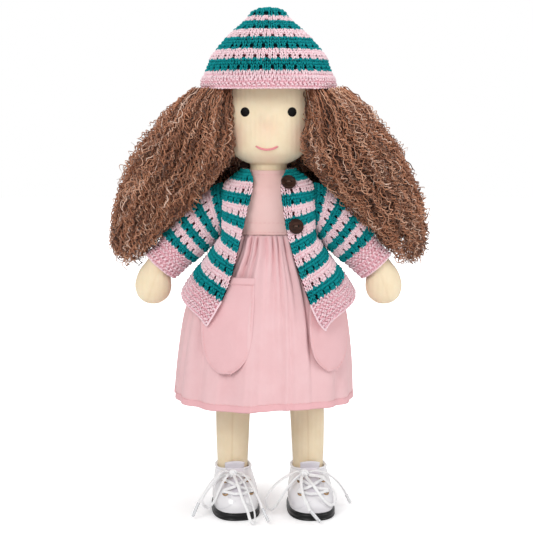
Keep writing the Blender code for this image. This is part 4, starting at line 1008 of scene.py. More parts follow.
bodice_low = 0.1703
bodice_high = 0.2083
bodice_ease = 0.0009
armhole_radius = 0.0104
bodice_rows, bodice_columns = 48, 160
torso_low, torso_high = torso_box[0].z, torso_box[1].z
bodice_heights = bodice_low + (bodice_high - bodice_low) * np.linspace(1, 0, bodice_rows)
bodice_net = np.stack([
    torso_ring(min((height - torso_low) / (torso_high - torso_low), 1), bodice_ease + dress_cloth * 0.4,
               bodice_columns) for height in bodice_heights])
bodice_net[:, :, 2] = bodice_heights[:, None]
face_middle = bodice_net[:-1]
in_armhole = ((np.hypot(face_middle[..., 1], face_middle[..., 2] - shoulder_place[2]) < armhole_radius)
              & (np.abs(face_middle[..., 0]) > 0.012))
bodice = cloth_piece("plain_bodice", bodice_net, dress_cloth * 0.8, bodice_cotton, closed=True,
                     keep=~in_armhole)
bodice_seams = []
for label, row in (("waist_seam", bodice_rows - 3), ("waistband_seam", bodice_rows - 10), ("neck_seam", 3)):
    line = bodice_net[row]
    away = line * (1, 1, 0)
    line = line + away / np.linalg.norm(away, axis=1, keepdims=True) * dress_cloth * 0.55
    bodice_seams.append(running_stitches(label, np.append(line, line[:1], axis=0), 0.0017, 0.0009,
                                         0.00016, sewing_thread))
for piece in (bodice, *bodice_seams):
    belongs(piece, "torso", "pink_cotton", "bodice")

pocket_top = 0.1465
pocket_height = 0.0550
pocket_width = 0.0330
pocket_reach = {1: 0.0430, -1: 0.0232}
pocket_band = 0.0040
pocket_outline = ((0.000, 0.970), (0.118, 0.980), (0.280, 1.000), (0.445, 1.000), (0.620, 0.970),
                  (0.800, 0.840), (0.920, 0.580), (1.000, 0.220))


def pocket_net(side, down, column, inset=0.0, lift=0.0):
    """A pocket lying over the skirt's folds, shrunk by an inset from its edge."""
    outline = np.array(finer(np.array(pocket_outline), 6))
    across, along = squared(np.linspace(0, 0.75 * math.pi, 240), skirt_square)
    rows = []
    for share in down:
        fallen = inset + (pocket_height - 2 * inset) * share
        height = pocket_top - fallen
        half = pocket_width / 2 * np.interp(fallen / pocket_height, *outline.T) - inset
        skirt_share = (waist_height - height) / (waist_height - hem_height)
        width, depth, swing, fold = (float(value) for value in read_rows(skirt_sections, skirt_share))
        ease = dress_cloth + fold_depth * fold + 0.0008 + lift
        ring_x = (skirt_half_width * width + ease) * along
        ring_y = -(skirt_half_depth * depth + ease) * across
        run = run_along(np.stack([ring_x, ring_y], axis=-1))
        at = pocket_reach[side] + half * (2 * column - 1)
        soft = (0.0005 * np.sin(column * 9 + side) * np.sin(fallen * 130)
                - 0.0007 * (1 - fallen / pocket_height) ** 6)
        rows.append(np.stack([side * np.interp(at, run, ring_x) - skirt_swing * swing,
                              np.interp(at, run, ring_y) + soft, np.full(len(column), height)], axis=-1))
    return np.stack(rows)


band_share = pocket_band / pocket_height
for label, side in (("left", 1), ("right", -1)):
    net = pocket_net(side, np.linspace(0, 1, 90), np.linspace(0, 1, 60))
    pocket = cloth_piece(label + "_patch_pocket", net, dress_cloth, pocket_cotton)
    band_net = pocket_net(side, np.linspace(0, band_share, 8), np.linspace(0, 1, 60),
                          lift=dress_cloth * 0.75)
    trims = [cloth_piece(label + "_pocket_band", band_net, dress_cloth * 0.6, pocket_cotton)]
    inset_net = pocket_net(side, np.linspace(0, 1, 80), np.linspace(0, 1, 41), 0.0016, dress_cloth * 0.6)
    edge_line = np.concatenate([inset_net[:, 0], inset_net[-1, 1:-1], inset_net[::-1, -1]])
    band_line = pocket_net(side, np.array((band_share * 0.85,)), np.linspace(0, 1, 41), 0.0,
                           dress_cloth * 1.15)[0]
    for place, line in (("edge", edge_line), ("band", band_line)):
        trims.append(running_stitches(f"{label}_pocket_{place}_stitches", line, 0.0015, 0.0008, 0.00016,
                                      sewing_thread))
    for piece in (pocket, *trims):
        hang(piece, label + "_pocket")


# The cardigan
# Wool in teal and pink stripes, knitted from the collar down in lacy fingers of Vs, with a garter hem.
# The back and two open fronts hang from the shoulders, joined at the side seams.
from_needle = np.random.default_rng(21)
knit_thickness = 0.0024
yarn_radius = 0.00056
ply_share = 0.56
ply_sides = 4
ply_turn = 0.0022
# Each wool's colour, then its painted shade down between the stitches and its painted highlight on their
# crowns.
teal = (0.002, 0.285, 0.310)
teal_painted_shade = (0.000, 0.050, 0.064)
teal_painted_highlight = (0.015, 0.450, 0.470)
wool_pink = (0.990, 0.740, 0.790)
wool_pink_painted_shade = (0.950, 0.550, 0.620)
wool_pink_painted_highlight = (1.000, 0.900, 0.920)
cardigan_half_width = 0.0525
cardigan_half_depth = 0.0450
front_reach = 0.0375
collar_height = 0.2090
left_tip = 0.1145
right_tip = 0.1168
side_hem = 0.1350
back_hem_drop = 0.0060
side_seam_gap = 0.0003
cardigan_armhole = 0.0133
hem_rise_power = 0.6
stripes = 11
garter_share = 0.17
finger_width = 0.0053
finger_rows = 4
slot_rows = 2
columns_in_finger = 3
slot_squeeze = 1.20
finger_overlap = 0.14
rib_width = 0.0021
purl_width = 0.0027


def wool(name, colour, deep, light):
    """Soft plied wool: pale fibres as a painted highlight on the stitches' crowns, and painted shade down
    between them.
    """
    made = new_finish(name, colour, 0.9, {
        "Sheen Weight": 0.30, "Sheen Roughness": 0.45, "Sheen Tint": light, "Specular IOR Level": 0.12})
    mottle = ramp(made, noise_at(made, 420, 4), 0.3, 0.7, 0.55, 1.0)
    fibre = ramp(made, noise_at(made, 3800, 3), 0.3, 0.75, 0.0, 0.7)
    # Painted shade and highlight: by how near its stitch's crown a point is, the colour deepens down between
    # the stitches and pales on their crowns, mottled and fibred at random.
    lit_crown_share = ramp(made, marked(made, "crown"), 0.35, 0.95)
    high, crown_highlight_share = (add_node(made, "Math", {0: lit_crown_share, 1: part}, operation="MULTIPLY").outputs[0]
                  for part in (mottle, fibre))
    dyed = blend_colours(made, high, deep, colour)
    set_shader(made, {"Base Color": blend_colours(made, crown_highlight_share, dyed, light)})
    low = raised(made, noise_at(made, 2600, 4), 0.00016, 0.7)
    raised(made, noise_at(made, 7000, 2), 0.00008, 0.5, under=low)
    return made


teal_wool = wool("teal_wool", teal, teal_painted_shade, teal_painted_highlight)
pink_wool = wool("pink_wool", wool_pink, wool_pink_painted_shade, wool_pink_painted_highlight)
# Painted shade: darker wools for the backing, which shows through the holes and cracks between the stitches as
# their shade.
shadow_teal = wool("shaded_teal_wool", (0.003, 0.040, 0.048), (0.001, 0.014, 0.018),
                   (0.004, 0.060, 0.068))
shadow_pink = wool("shaded_pink_wool", (0.22, 0.055, 0.065), (0.09, 0.020, 0.026), (0.32, 0.11, 0.13))
shaded_inner_pink = wool("inner_pink_wool", (0.96, 0.63, 0.69), (0.92, 0.52, 0.58), (0.98, 0.74, 0.78))


def plied(paths, radius):
    """Two plies twisted round each path, as points and faces."""
    paths = np.asarray(paths, float)
    count, length = paths.shape[:2]
    along = np.gradient(paths, axis=1)
    step = np.linalg.norm(along, axis=2, keepdims=True)
    along /= np.maximum(step, 1e-12)
    across = np.cross(along, (0.27, 0.91, 0.31))
    across /= np.maximum(np.linalg.norm(across, axis=2, keepdims=True), 1e-12)
    beside = np.cross(along, across)
    run = np.cumsum(step[..., 0], axis=1)
    angle = 2 * math.pi * run / ply_turn + from_needle.uniform(0, 2 * math.pi, (count, 1))
    off = radius * (1 - ply_share) * 1.05
    plies = [paths + off * (across * np.cos(angle + turn)[..., None]
                            + beside * np.sin(angle + turn)[..., None]) for turn in (0, math.pi)]
    return tubes(np.concatenate(plies), radius * ply_share, ply_sides)


def on_net(net, outward, across, down, lift, closed=False):
    """Places on a net: shares of the way across and down it, and the height off it in metres."""
    rows, columns = net.shape[:2]
    row = np.clip(down, 0, 1) * (rows - 1)
    column = across * columns if closed else np.clip(across, 0, 1) * (columns - 1)
    row_low = np.clip(row.astype(int), 0, rows - 2)
    column_low = np.floor(column).astype(int)
    if not closed:
        column_low = np.clip(column_low, 0, columns - 2)
    row_part, column_part = (row - row_low)[..., None], (column - column_low)[..., None]
    beyond = down - np.clip(down, 0, 1)

    def read(values):
        near, far = column_low % columns, (column_low + 1) % columns
        upper = values[row_low, near] * (1 - column_part) + values[row_low, far] * column_part
        lower = values[row_low + 1, near] * (1 - column_part) + values[row_low + 1, far] * column_part
        return upper * (1 - row_part) + lower * row_part

    down_way = read(np.gradient(net, axis=0)) * (rows - 1)
    return read(net) + read(outward) * lift[..., None] + down_way * beyond[..., None]


def stitch_paths(shape, net, outward, count, top, bottom, closed, places=None, loose=0.05):
    """One stitch's strands repeated along a row, each point given as across, up and lift."""
    shape = np.asarray(shape, float)
    strands, length = shape.shape[:2]
    if places is None:
        places = np.arange(count) + 0.5
    across = np.repeat(places, strands)[:, None] + np.tile(shape[..., 0], (len(places), 1))
    up = np.tile(shape[..., 1], (len(places), 1))
    lift = np.tile(shape[..., 2], (len(places), 1))
    across = across + from_needle.normal(0, loose * 0.6, (len(across), 1))
    up = up + from_needle.normal(0, loose, (len(up), 1))
    lift = lift + from_needle.normal(0, loose * 0.0025, (len(lift), 1))
    return on_net(net, outward, across / count, bottom + (top - bottom) * up, lift, closed), lift


stitch_height = 0.0011


def vee_stitch(height=stitch_height):
    """One knitted V: two legs that lean together and dive into the V below."""
    share = np.linspace(0, 1, 8)
    return np.array([np.stack([way * (0.34 - 0.24 * share), 1.08 - 1.20 * share,
                               height * np.sin(math.pi * (0.04 + 0.94 * share))], axis=-1)
                     for way in (-1, 1)])


def purl_stitch():
    """One bump of a garter ridge: an arc up and an arc down that hook into each other."""
    share = np.linspace(0, 1, 10)
    bow = np.sin(math.pi * share)
    return [np.stack([-0.40 + 0.80 * share, 0.36 + 0.50 * bow, stitch_height * (1.15 * bow - 0.15)], axis=-1),
            np.stack([0.10 + 0.80 * share, 0.58 - 0.50 * bow, stitch_height * (1.00 * bow - 0.15)], axis=-1)]


def stripe_bands(count, first, last):
    """Top and bottom of each stripe, as shares of the way down."""
    edges = np.linspace(first, last, count + 1)
    return [(edges[k], edges[k + 1]) for k in range(count)]


def joined_round(row):
    """A closed row with its first point again at its end."""
    return np.append(row, row[:1], axis=0)


def row_count(net, down, width, closed):
    """How many stitches of a width a row of the fabric takes."""
    row = net[int(np.clip(down, 0, 1) * (len(net) - 1))]
    return max(6, round(float(run_along(joined_round(row) if closed else row)[-1]) / width))


def join_yarn(name, parts):
    """One piece from (points, faces, material, crown) parts."""
    points, faces, kinds, crowns, finishes, base = [], [], [], [], [], 0
    for part_points, part_faces, finish, crown in parts:
        if finish not in finishes:
            finishes.append(finish)
        points.append(part_points)
        faces.append(part_faces + base)
        kinds.append(np.full(len(part_faces), finishes.index(finish), np.int32))
        crowns.append(crown)
        base += len(part_points)
    piece = add_mesh(name, np.concatenate(points), np.concatenate(faces), None)
    for finish in finishes:
        piece.data.materials.append(finish)
    piece.data.polygons.foreach_set("material_index", np.concatenate(kinds))
    mark(piece, "crown", np.concatenate(crowns))
    return piece


def outside_hole(paths, lift, hole):
    """Keeps the strands whose middles are outside a round hole about the shoulder's axis."""
    if hole is None:
        return paths, lift
    middle = paths.mean(axis=1)
    kept = np.hypot(middle[:, 1], middle[:, 2] - shoulder_place[2]) > hole
    return paths[kept], lift[kept]


def yarn_part(paths, lift, finish, radius=yarn_radius):
    """Plied yarn along paths, with how near the crown of its stitch each point of it is."""
    points, faces = plied(paths, radius)
    crown = np.clip(lift / stitch_height, 0, 1)
    crown = np.repeat(np.concatenate([crown, crown]).ravel(), ply_sides)
    return points, faces, finish, crown


def lace_knit(net, outward, bands, closed=False, hole=None, width=finger_width):
    """The strands of a fabric: bands of (kind, top, bottom, finish, rows)."""
    parts = []
    for kind, top, bottom, finish, rows in bands:
        if kind == "fingers":
            fingers = row_count(net, (top + bottom) / 2, width, closed)
            edges = np.linspace(top, bottom + (bottom - top) * finger_overlap, finger_rows + 1)
            count, rows = fingers * columns_in_finger, finger_rows
        else:
            edges = np.linspace(top, bottom, rows + 1)
        for row in range(rows):
            stitch, places, radius = vee_stitch(), None, yarn_radius
            if kind == "fingers":
                places = np.arange(count) + 0.5
                if row >= finger_rows - slot_rows:
                    places = places[np.arange(count) % columns_in_finger != columns_in_finger - 1]
                    middle = np.floor(places / columns_in_finger) * columns_in_finger + 1.0
                    squeeze = slot_squeeze - 0.06 * (row == finger_rows - 1)
                    places = middle + (places - middle) * squeeze
                    stitch = vee_stitch(stitch_height * 1.25)
                    stitch[..., 0] *= slot_squeeze
            elif kind == "ribs":
                count = row_count(net, edges[row], rib_width, closed)
            else:
                count = row_count(net, edges[row], purl_width, closed)
                places = np.arange(count) + 0.5 + (0.5 if closed else 0.0) * (row % 2)
                stitch, radius = purl_stitch(), yarn_radius * 1.05
            strands = stitch_paths(stitch, net, outward, count, edges[row], edges[row + 1], closed, places)
            parts.append(yarn_part(*outside_hole(*strands, hole), finish, radius))
    return parts


def knit_backing(name, net, outward, bands, closed=False, hole=None):
    """The thin layer of yarn behind the stitches, darker with painted shade, in the same stripes."""
    rows, columns = net.shape[:2]
    inner = net - outward * 0.0006
    keep = None
    if hole is not None:
        corner = inner[:-1] if closed else inner[:-1, :-1]
        keep = np.hypot(corner[..., 1], corner[..., 2] - shoulder_place[2]) > hole
    piece = cloth_piece(name, inner, 0.0005, None, closed, keep)
    within = (np.arange(rows - 1) + 0.5) / (rows - 1)
    finishes = []
    kinds = np.zeros(rows - 1, np.int32)
    for kind, top, bottom, finish, _ in bands:
        # Each band's backing in painted shade: dark teal or dark pink behind the fingers, a deeper pink behind
        # the other bands.
        backing_shade = shadow_teal if finish is teal_wool else shadow_pink
        if kind != "fingers":
            backing_shade = shaded_inner_pink
        if backing_shade not in finishes:
            finishes.append(backing_shade)
            piece.data.materials.append(backing_shade)
        kinds[(within >= top) & (within <= bottom)] = finishes.index(backing_shade)
    kinds = np.repeat(kinds, columns if closed else columns - 1)
    piece.data.polygons.foreach_set("material_index", kinds if keep is None else kinds[keep.ravel()])
    return piece


# Height from the hem tips to the collar, half width, half depth and squareness of its outer side.
cardigan_sections = (
    (0.000, 1.060, 1.045, 2.3), (0.150, 1.045, 0.990, 2.3), (0.230, 0.990, 0.920, 2.3),
    (0.320, 0.885, 0.838, 2.4), (0.400, 0.760, 0.755, 2.6), (0.485, 0.650, 0.665, 2.9),
    (0.540, 0.590, 0.630, 3.2), (0.590, 0.533, 0.605, 3.6), (0.700, 0.533, 0.556, 4.0),
    (0.780, 0.533, 0.530, 4.0), (0.850, 0.531, 0.495, 3.6), (0.905, 0.505, 0.450, 3.0),
    (0.945, 0.420, 0.410, 2.5), (0.978, 0.345, 0.385, 2.2), (1.000, 0.300, 0.352, 2.0),
)
left_edge = ((0.000, 0.960), (0.085, 0.775), (0.325, 0.525), (0.570, 0.320),
             (0.725, 0.243), (0.910, 0.195), (1.000, 0.288))
right_edge = ((0.000, 1.060), (0.025, 0.975), (0.280, 0.635), (0.560, 0.448),
              (0.720, 0.352), (0.910, 0.243), (1.000, 0.307))


def cardigan_size(height):
    up = (height - left_tip) / (collar_height - left_tip)
    width, depth, square = read_rows(cardigan_sections, up)
    return cardigan_half_width * width, cardigan_half_depth * depth, square


def cardigan_at(height, angle):
    half_width, half_depth, square = cardigan_size(height)
    across, along = squared(angle, square)
    return np.stack([half_width * across, half_depth * along, height], axis=-1)


def side_seam_angle(height):
    _, half_depth, square = cardigan_size(height)
    return np.arcsin((side_seam_gap / 2 / half_depth) ** (square / 2))


panel_rows, panel_columns = 150, 90
tip_rounding = 0.0020
tip_rounding_reach = 0.07


def panel_grid(columns):
    return np.meshgrid(np.linspace(0, 1, panel_rows), np.linspace(0, 1, columns), indexing="ij")


def front_net(side, tip, edge):
    """An open front, from its slanting edge round to the side seam, with its tip rounded."""
    down, column = panel_grid(panel_columns)
    bottom = tip + (side_hem - tip) * column ** hem_rise_power
    bottom += tip_rounding * np.clip(1 - column / tip_rounding_reach, 0, 1) ** 2
    height = collar_height + (bottom - collar_height) * down
    table = finer(np.array(edge), 8)
    up = (height - tip) / (collar_height - tip)
    edge_x = front_reach * np.interp(up, table[:, 0], table[:, 1])
    half_width, _, square = cardigan_size(height)
    front = np.arccos(np.minimum(edge_x / half_width, 1) ** (square / 2))
    angle = -(front + (side_seam_angle(height) - front) * column)
    return cardigan_at(height, angle) * (side, 1, 1)


def back_net():
    """The back, from one side seam round to the other."""
    down, column = panel_grid(2 * panel_columns)
    bottom = side_hem - back_hem_drop * np.sin(math.pi * column)
    height = collar_height + (bottom - collar_height) * down
    seam = side_seam_angle(height)
    return cardigan_at(height, seam + (math.pi - 2 * seam) * column)


def edging(path, thickness):
    """A pink cord of chain stitches along an edge of the fabric, so many times the yarn's thickness."""
    length = run_along(path)[-1]
    steps = max(8, int(length / 0.0006))
    even = points_at(path, np.linspace(0, length, steps))
    return yarn_part(even[None], np.full((1, steps), stitch_height), pink_wool, yarn_radius * thickness)


cardigan_bands = [("fingers", top, bottom, (teal_wool, pink_wool)[number % 2], 1)
                  for number, (top, bottom) in enumerate(stripe_bands(stripes, 0.0, 1 - garter_share))]
cardigan_bands.append(("garter", 1 - garter_share, 1.0, pink_wool, 6))
panel_nets = {
    "cardigan_left_front": front_net(1, left_tip, left_edge),
    "cardigan_right_front": front_net(-1, right_tip, right_edge),
    "cardigan_back": back_net(),
}
for node, net in panel_nets.items():
    outward = outward_of(net)
    middle_net = net - outward * 0.0010
    backing = knit_backing(node + "_backing", middle_net, outward, cardigan_bands, hole=cardigan_armhole)
    upper = lace_knit(middle_net, outward, cardigan_bands[:6], hole=cardigan_armhole)
    lower = lace_knit(middle_net, outward, cardigan_bands[6:], hole=cardigan_armhole)
    upper.append(edging(middle_net[0] + outward[0] * 0.0004, 1.2))
    hem = middle_net[-1] + outward[-1] * 0.0002
    if node != "cardigan_back":
        garter_start = int((1 - garter_share) * panel_rows)
        front_edge = middle_net[garter_start:-1, 0] + outward[garter_start:-1, 0] * 0.0002
        hem = np.concatenate([front_edge, hem])
    lower.append(edging(hem, 1.3))
    fabric = [join_yarn(node + "_upper_knit", upper), join_yarn(node + "_lower_knit", lower)]
    for piece in (backing, *fabric):
        hang(piece, node)

# The sleeves
# Straight tubes of the same wool, set in at the armholes, with four teal bands, three pink ones and
# a turned garter cuff in pink.
sleeve_start = np.array((0.0283, 0.0, 0.188))
sleeve_radius = 0.0135
sleeve_sections = (
    (-0.030, 0.020, 0, 0.960, 0.980), (0.020, 0.035, 8, 0.990, 1.000), (0.155, 0.138, 30, 0.960, 1.010),
    (0.270, 0.230, 37, 1.010, 1.010), (0.410, 0.350, 41, 1.000, 1.000), (0.555, 0.490, 50, 0.880, 0.880),
    (0.590, 0.525, 51, 0.860, 0.860), (0.725, 0.625, 49, 0.870, 0.870),
)
cuff_share = 0.30
sleeve_bands = [("fingers", top, bottom, (teal_wool, pink_wool)[number % 2], 1)
                for number, (top, bottom) in enumerate(stripe_bands(7, 0.0, 1 - cuff_share))]
sleeve_bands.append(("garter", 1 - cuff_share, 1.0, pink_wool, 5))
for label, side in (("left", 1), ("right", -1)):
    rings = [limb_ring(sleeve_start, reach, drop, lean, sleeve_radius * tall, sleeve_radius * deep, 12,
                       side) for reach, drop, lean, tall, deep in sleeve_sections]
    rough = finer_form(rings, along=14, around=8)
    run = run_along(rough.mean(axis=1))
    even = np.linspace(0, run[-1], 100)
    net = np.stack([[np.interp(even, run, rough[:, column, axis]) for axis in range(3)]
                    for column in range(rough.shape[1])])
    net = np.transpose(net, (2, 0, 1))
    outward = net - net.mean(axis=1, keepdims=True)
    outward /= np.linalg.norm(outward, axis=2, keepdims=True)
    middle_net = net - outward * 0.0010
    backing = knit_backing(label + "_sleeve_backing", middle_net, outward, sleeve_bands, closed=True)
    parts = lace_knit(middle_net, outward, sleeve_bands, closed=True)
    parts.append(edging(joined_round(middle_net[-1]), 1.1))
    fabric = join_yarn(label + "_sleeve_stitches", parts)
    for piece in (backing, fabric):
        belongs(piece, label + "_arm", "teal_yarn", label + "_sleeve")


# The hat
# A loose wool hat knitted round from the brim: a pink garter band under a band of Vs, then teal and
# pink rows of lacy fingers that narrow to a teal knob.
hat_radius = 0.0408
hat_brim = 0.2565
hat_height = 0.0485
hat_profile = ((1.000, 0.000), (0.990, 0.100), (0.917, 0.221), (0.843, 0.390), (0.762, 0.476),
               (0.645, 0.598), (0.512, 0.707), (0.380, 0.804), (0.292, 0.876), (0.235, 0.940), (0.120, 0.985))
hat_stripes = (0.2674, 0.2742, 0.2798, 0.2868, 0.2914, 0.2966, 0.2994, 0.3046)
hat_finger_width = 0.0064

hat_sides = 144
profile = finer(np.array(hat_profile), 12) * (hat_radius, hat_height)
run = run_along(profile)
even = np.linspace(0, run[-1], 140)
turn = np.linspace(0, 2 * math.pi, hat_sides, endpoint=False)
reach = np.interp(even, run, profile[:, 0])
height = hat_brim + np.interp(even, run, profile[:, 1])
hat_net = np.stack([reach[:, None] * np.cos(turn), reach[:, None] * np.sin(turn),
                    np.broadcast_to(height[:, None], (len(even), hat_sides))], axis=-1)
hat_out = outward_of(hat_net)
middle_net = hat_net - hat_out * 0.0012


def hat_share(z):
    """How far along the hat's side a height is, from its brim."""
    return float(np.interp(z, height, np.linspace(0, 1, len(height))))


band_half = (hat_brim + hat_stripes[0]) / 2
hat_parts = []
for low, high, kind in ((hat_brim, band_half, "garter"), (band_half, hat_stripes[0], "ribs")):
    band = (kind, hat_share(high), hat_share(low), pink_wool, 2)
    hat_parts += lace_knit(middle_net, hat_out, [band], closed=True)
hat_bands = [("band", 0.0, hat_share(hat_stripes[0]), pink_wool, 2)]
for number in range(len(hat_stripes) - 1):
    low, high = hat_share(hat_stripes[number]), hat_share(hat_stripes[number + 1])
    finish = (teal_wool, pink_wool)[number % 2]
    hat_bands.append(("fingers", low, high, finish, 1))
    hat_parts += lace_knit(middle_net, hat_out, [("fingers", high, low, finish, 1)], closed=True,
                           width=hat_finger_width)
hat_parts.append(edging(joined_round(middle_net[0]) + (0, 0, 0.0006), 1.3))
turns = np.linspace(0, 3.2, 90)
knob_reach = 0.0042 * (1 - turns / 4.2)
knob = np.stack([knob_reach * np.cos(turns * 2 * math.pi), knob_reach * np.sin(turns * 2 * math.pi),
                 0.3030 + 0.0004 * turns], axis=-1)
hat_parts.append(yarn_part(knob[None], np.full((1, len(knob)), stitch_height), teal_wool,
                           yarn_radius * 1.4))
hat_backing = knit_backing("hat_backing", middle_net, hat_out, hat_bands, closed=True)
hat_fabric = join_yarn("hat_stitches", hat_parts)
for piece in (hat_backing, hat_fabric):
    belongs(piece, "hat", "teal_yarn", "knitted_hat")


# The buttons
# Two turned buttons of dark stained wood, each with a raised rim, a dished face and two holes, sewn
# to the left front with brown thread.
button_radius = 0.0045
button_thickness = 0.0022
button_hole = 0.00062
button_hole_spacing = 0.0024
button_sides = 96
button_section = ((0.00, 0.62), (0.30, 0.60), (0.55, 0.64), (0.68, 0.80), (0.78, 0.97), (0.86, 1.00),
                  (0.94, 0.94), (0.99, 0.72), (1.00, 0.50), (0.97, 0.22), (0.88, 0.04), (0.80, 0.00))


def turned_wood(name):
    made = new_finish(name, (0.030, 0.013, 0.009), 0.5, {"Specular IOR Level": 0.15})
    grain = noise_at(made, 500, 5, (0.25, 1, 1.6))
    stain = blend_colours(made, ramp(made, grain, 0.3, 0.7), (0.010, 0.004, 0.003), (0.055, 0.022, 0.014))
    set_shader(made, {"Base Color": stain})
    raised(made, grain, 0.0001, 0.6)
    return made


def facing_frame(outward):
    """Sideways and upward directions in a plane that faces outward."""
    sideways = np.cross((0, 0, 1), -np.asarray(outward))
    sideways /= np.linalg.norm(sideways)
    return sideways, np.cross(-np.asarray(outward), sideways)


button_wood = turned_wood("dark_button_wood")
button_thread = new_finish("button_thread", (0.10, 0.045, 0.030), 0.6)
mottled(button_thread, 3000, (0.06, 0.03, 0.02), (0.14, 0.07, 0.045))
front_panel = panel_nets["cardigan_left_front"]
front_outward = outward_of(front_panel)
for name in ("upper_button", "lower_button"):
    low, high = (np.array(corner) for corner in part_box(name))
    middle = (low + high) / 2
    nearest = np.argmin(np.hypot(front_panel[..., 0] - middle[0], front_panel[..., 2] - middle[2]))
    outward = front_outward.reshape(-1, 3)[nearest]
    right_way, up_way = facing_frame(outward)
    base = middle - outward * button_thickness / 2
    turn = np.arange(button_sides) * 2 * math.pi / button_sides
    round_way = np.cos(turn)[:, None] * right_way + np.sin(turn)[:, None] * up_way
    rings = [base + outward * button_thickness * up + button_radius * max(out, 0.02) * round_way
             for out, up in finer(np.array(button_section), 3)]
    button = skinned(name + "_turned", np.stack(rings), button_wood)
    drill_ends = [[base + right_way * way * button_hole_spacing / 2 + outward * depth
                   for depth in (-0.001, 0.0035)] for way in (-1, 1)]
    points, faces = tubes(drill_ends, button_hole, 20)
    faces = faces.tolist()
    for start in (0, 40):
        faces += [list(range(start, start + 20)), list(range(start + 20, start + 40))[::-1]]
    drills = face_outward(add_mesh(name + "_drills", points, faces, None))
    holes = button.modifiers.new("holes", "BOOLEAN")
    holes.object = drills
    holes.solver = "EXACT"
    bpy.context.view_layer.update()
    drilled = bpy.data.meshes.new_from_object(
        button.evaluated_get(bpy.context.evaluated_depsgraph_get()))
    button.modifiers.clear()
    button.data = drilled
    bpy.data.objects.remove(drills)
    drilled.materials.clear()
    drilled.materials.append(button_wood)
    arch = np.stack([base + outward * button_thickness * (0.66 + 0.16 * (1 - x * x) - 0.8 * abs(x) ** 10)
                     + right_way * x * button_hole_spacing / 2 for x in np.linspace(-1, 1, 13)])
    strands = [arch + up_way * shift for shift in (-0.00028, 0.00028)]
    stitch = tube_piece(name + "_thread", strands, 0.00026, 6, button_thread)
    for piece in (button, stitch):
        belongs(piece, "torso", "dark_wood", name)


# The shoes
# White patent shoes on black rubber soles: a closed upper over the toe, two laced flaps with brass
# eyelets, and a folded tongue. Each part is stitched or glued to the next.
sole_length = 0.0500
sole_width = 0.0285
sole_back = 0.0140
sole_thickness = 0.0042
upper_top = 0.0270
upper_base = 0.0045
upper_thickness = 0.0011
shoe_square = 2.5
heel_narrowing = 0.09
throat_width = 0.0090
throat_low = 0.0140
tongue_width = 0.0110
eyelet_radius = 0.0021
eyelet_hole = 0.0011
upper_sections = ((0.00, 0.696, 0.256, 0.926), (0.20, 0.700, 0.264, 0.955), (0.40, 0.650, 0.262, 0.930),
                  (0.56, 0.550, 0.256, 0.880), (0.69, 0.440, 0.250, 0.835), (0.82, 0.330, 0.240, 0.785),
                  (0.92, 0.270, 0.226, 0.745), (1.00, 0.252, 0.222, 0.735))
collar_drop = 0.0014


def shoe_net(up, around, lift=0.0):
    """Points on an upper: share of the way up by share of the way round, from its right side."""
    front, back, width = (value[:, None] for value in read_rows(upper_sections, up))
    front, back = front * sole_length + lift, back * sole_length + lift
    across, along = squared(2 * math.pi * around[None], shoe_square)
    x = (width * sole_width / 2 + lift) * across
    y = (back - front) / 2 + (front + back) / 2 * along
    z = upper_base + (upper_top - upper_base) * up[:, None]
    return np.stack([x * (1 - heel_narrowing * along), y, np.broadcast_to(z, x.shape)], axis=-1)


def patent(name, tint):
    """White patent leather: a wet coat over a faintly pearly, finely creased skin."""
    made = new_finish(name, tint, 0.28, {
        "Coat Weight": 0.9, "Coat Roughness": 0.06, "Specular IOR Level": 0.5})
    shade = tuple(value * factor for value, factor in zip(tint, (0.90, 0.88, 0.91)))
    cloud = ramp(made, noise_at(made, 70, 3), 0.35, 0.7)
    set_shader(made, {"Base Color": blend_colours(made, cloud, tint, shade)})
    low = raised(made, noise_at(made, 260, 3), 0.0004, 0.35)
    raised(made, noise_at(made, 2200, 3), 0.00004, 0.4, under=low)
    return made


white_patent = patent("white_patent_leather", (0.86, 0.85, 0.86))
tongue_patent = patent("tongue_patent_leather", (0.82, 0.79, 0.83))
sole_rubber = new_finish("black_sole_rubber", (0.004, 0.004, 0.005), 0.30, {"Specular IOR Level": 0.28})
mottled(sole_rubber, 500, (0.002, 0.002, 0.002), (0.007, 0.007, 0.008), detail=4)
raised(sole_rubber, noise_at(sole_rubber, 1500, 4), 0.0001, 0.5)
eyelet_brass = new_finish("aged_eyelet_brass", (0.42, 0.26, 0.13), 0.32, {"Metallic": 1.0})
mottled(eyelet_brass, 1600, (0.22, 0.12, 0.06), (0.55, 0.37, 0.20))
raised(eyelet_brass, noise_at(eyelet_brass, 2500, 2), 0.00005, 0.4)
shoe_thread = new_finish("white_shoe_thread", (0.70, 0.69, 0.72), 0.6)
mottled(shoe_thread, 3500, (0.60, 0.59, 0.63), (0.78, 0.77, 0.80))


def on_foot(points, label):
    """Points from a shoe's own frame to where the foot stands."""
    foot = foot_middle(label)
    return turned_about(np.asarray(points) + foot, foot, foot_turns[label])


def wear(piece, label, slot, *nodes_replaced):
    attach(piece, label + "_leg")
    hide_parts(*(f"{label}_shoe_{node}" for node in nodes_replaced))


def net_place(net, x, z):
    """Where a shoe's front is at a distance to the side and a height, and which way it faces."""
    front = net[..., 1] < net[..., 1].mean()
    away = np.where(front, np.hypot(net[..., 0] - x, net[..., 2] - z), 1)
    row, column = np.unravel_index(np.argmin(away), away.shape)
    return net[row, column], (row, column)


def on_leather(net, outward, x, z, lift=0.0002):
    """A point on the front of a shoe's net, lifted off the leather."""
    place, spot = net_place(net, x, z)
    return place + outward[spot] * lift


def throat_half(z):
    """Half the width of the gap between the flaps at a height, and a little more above."""
    return throat_width / 2 * (0.75 + 0.40 * np.clip((z - throat_low) / (upper_top - throat_low), 0, 1))


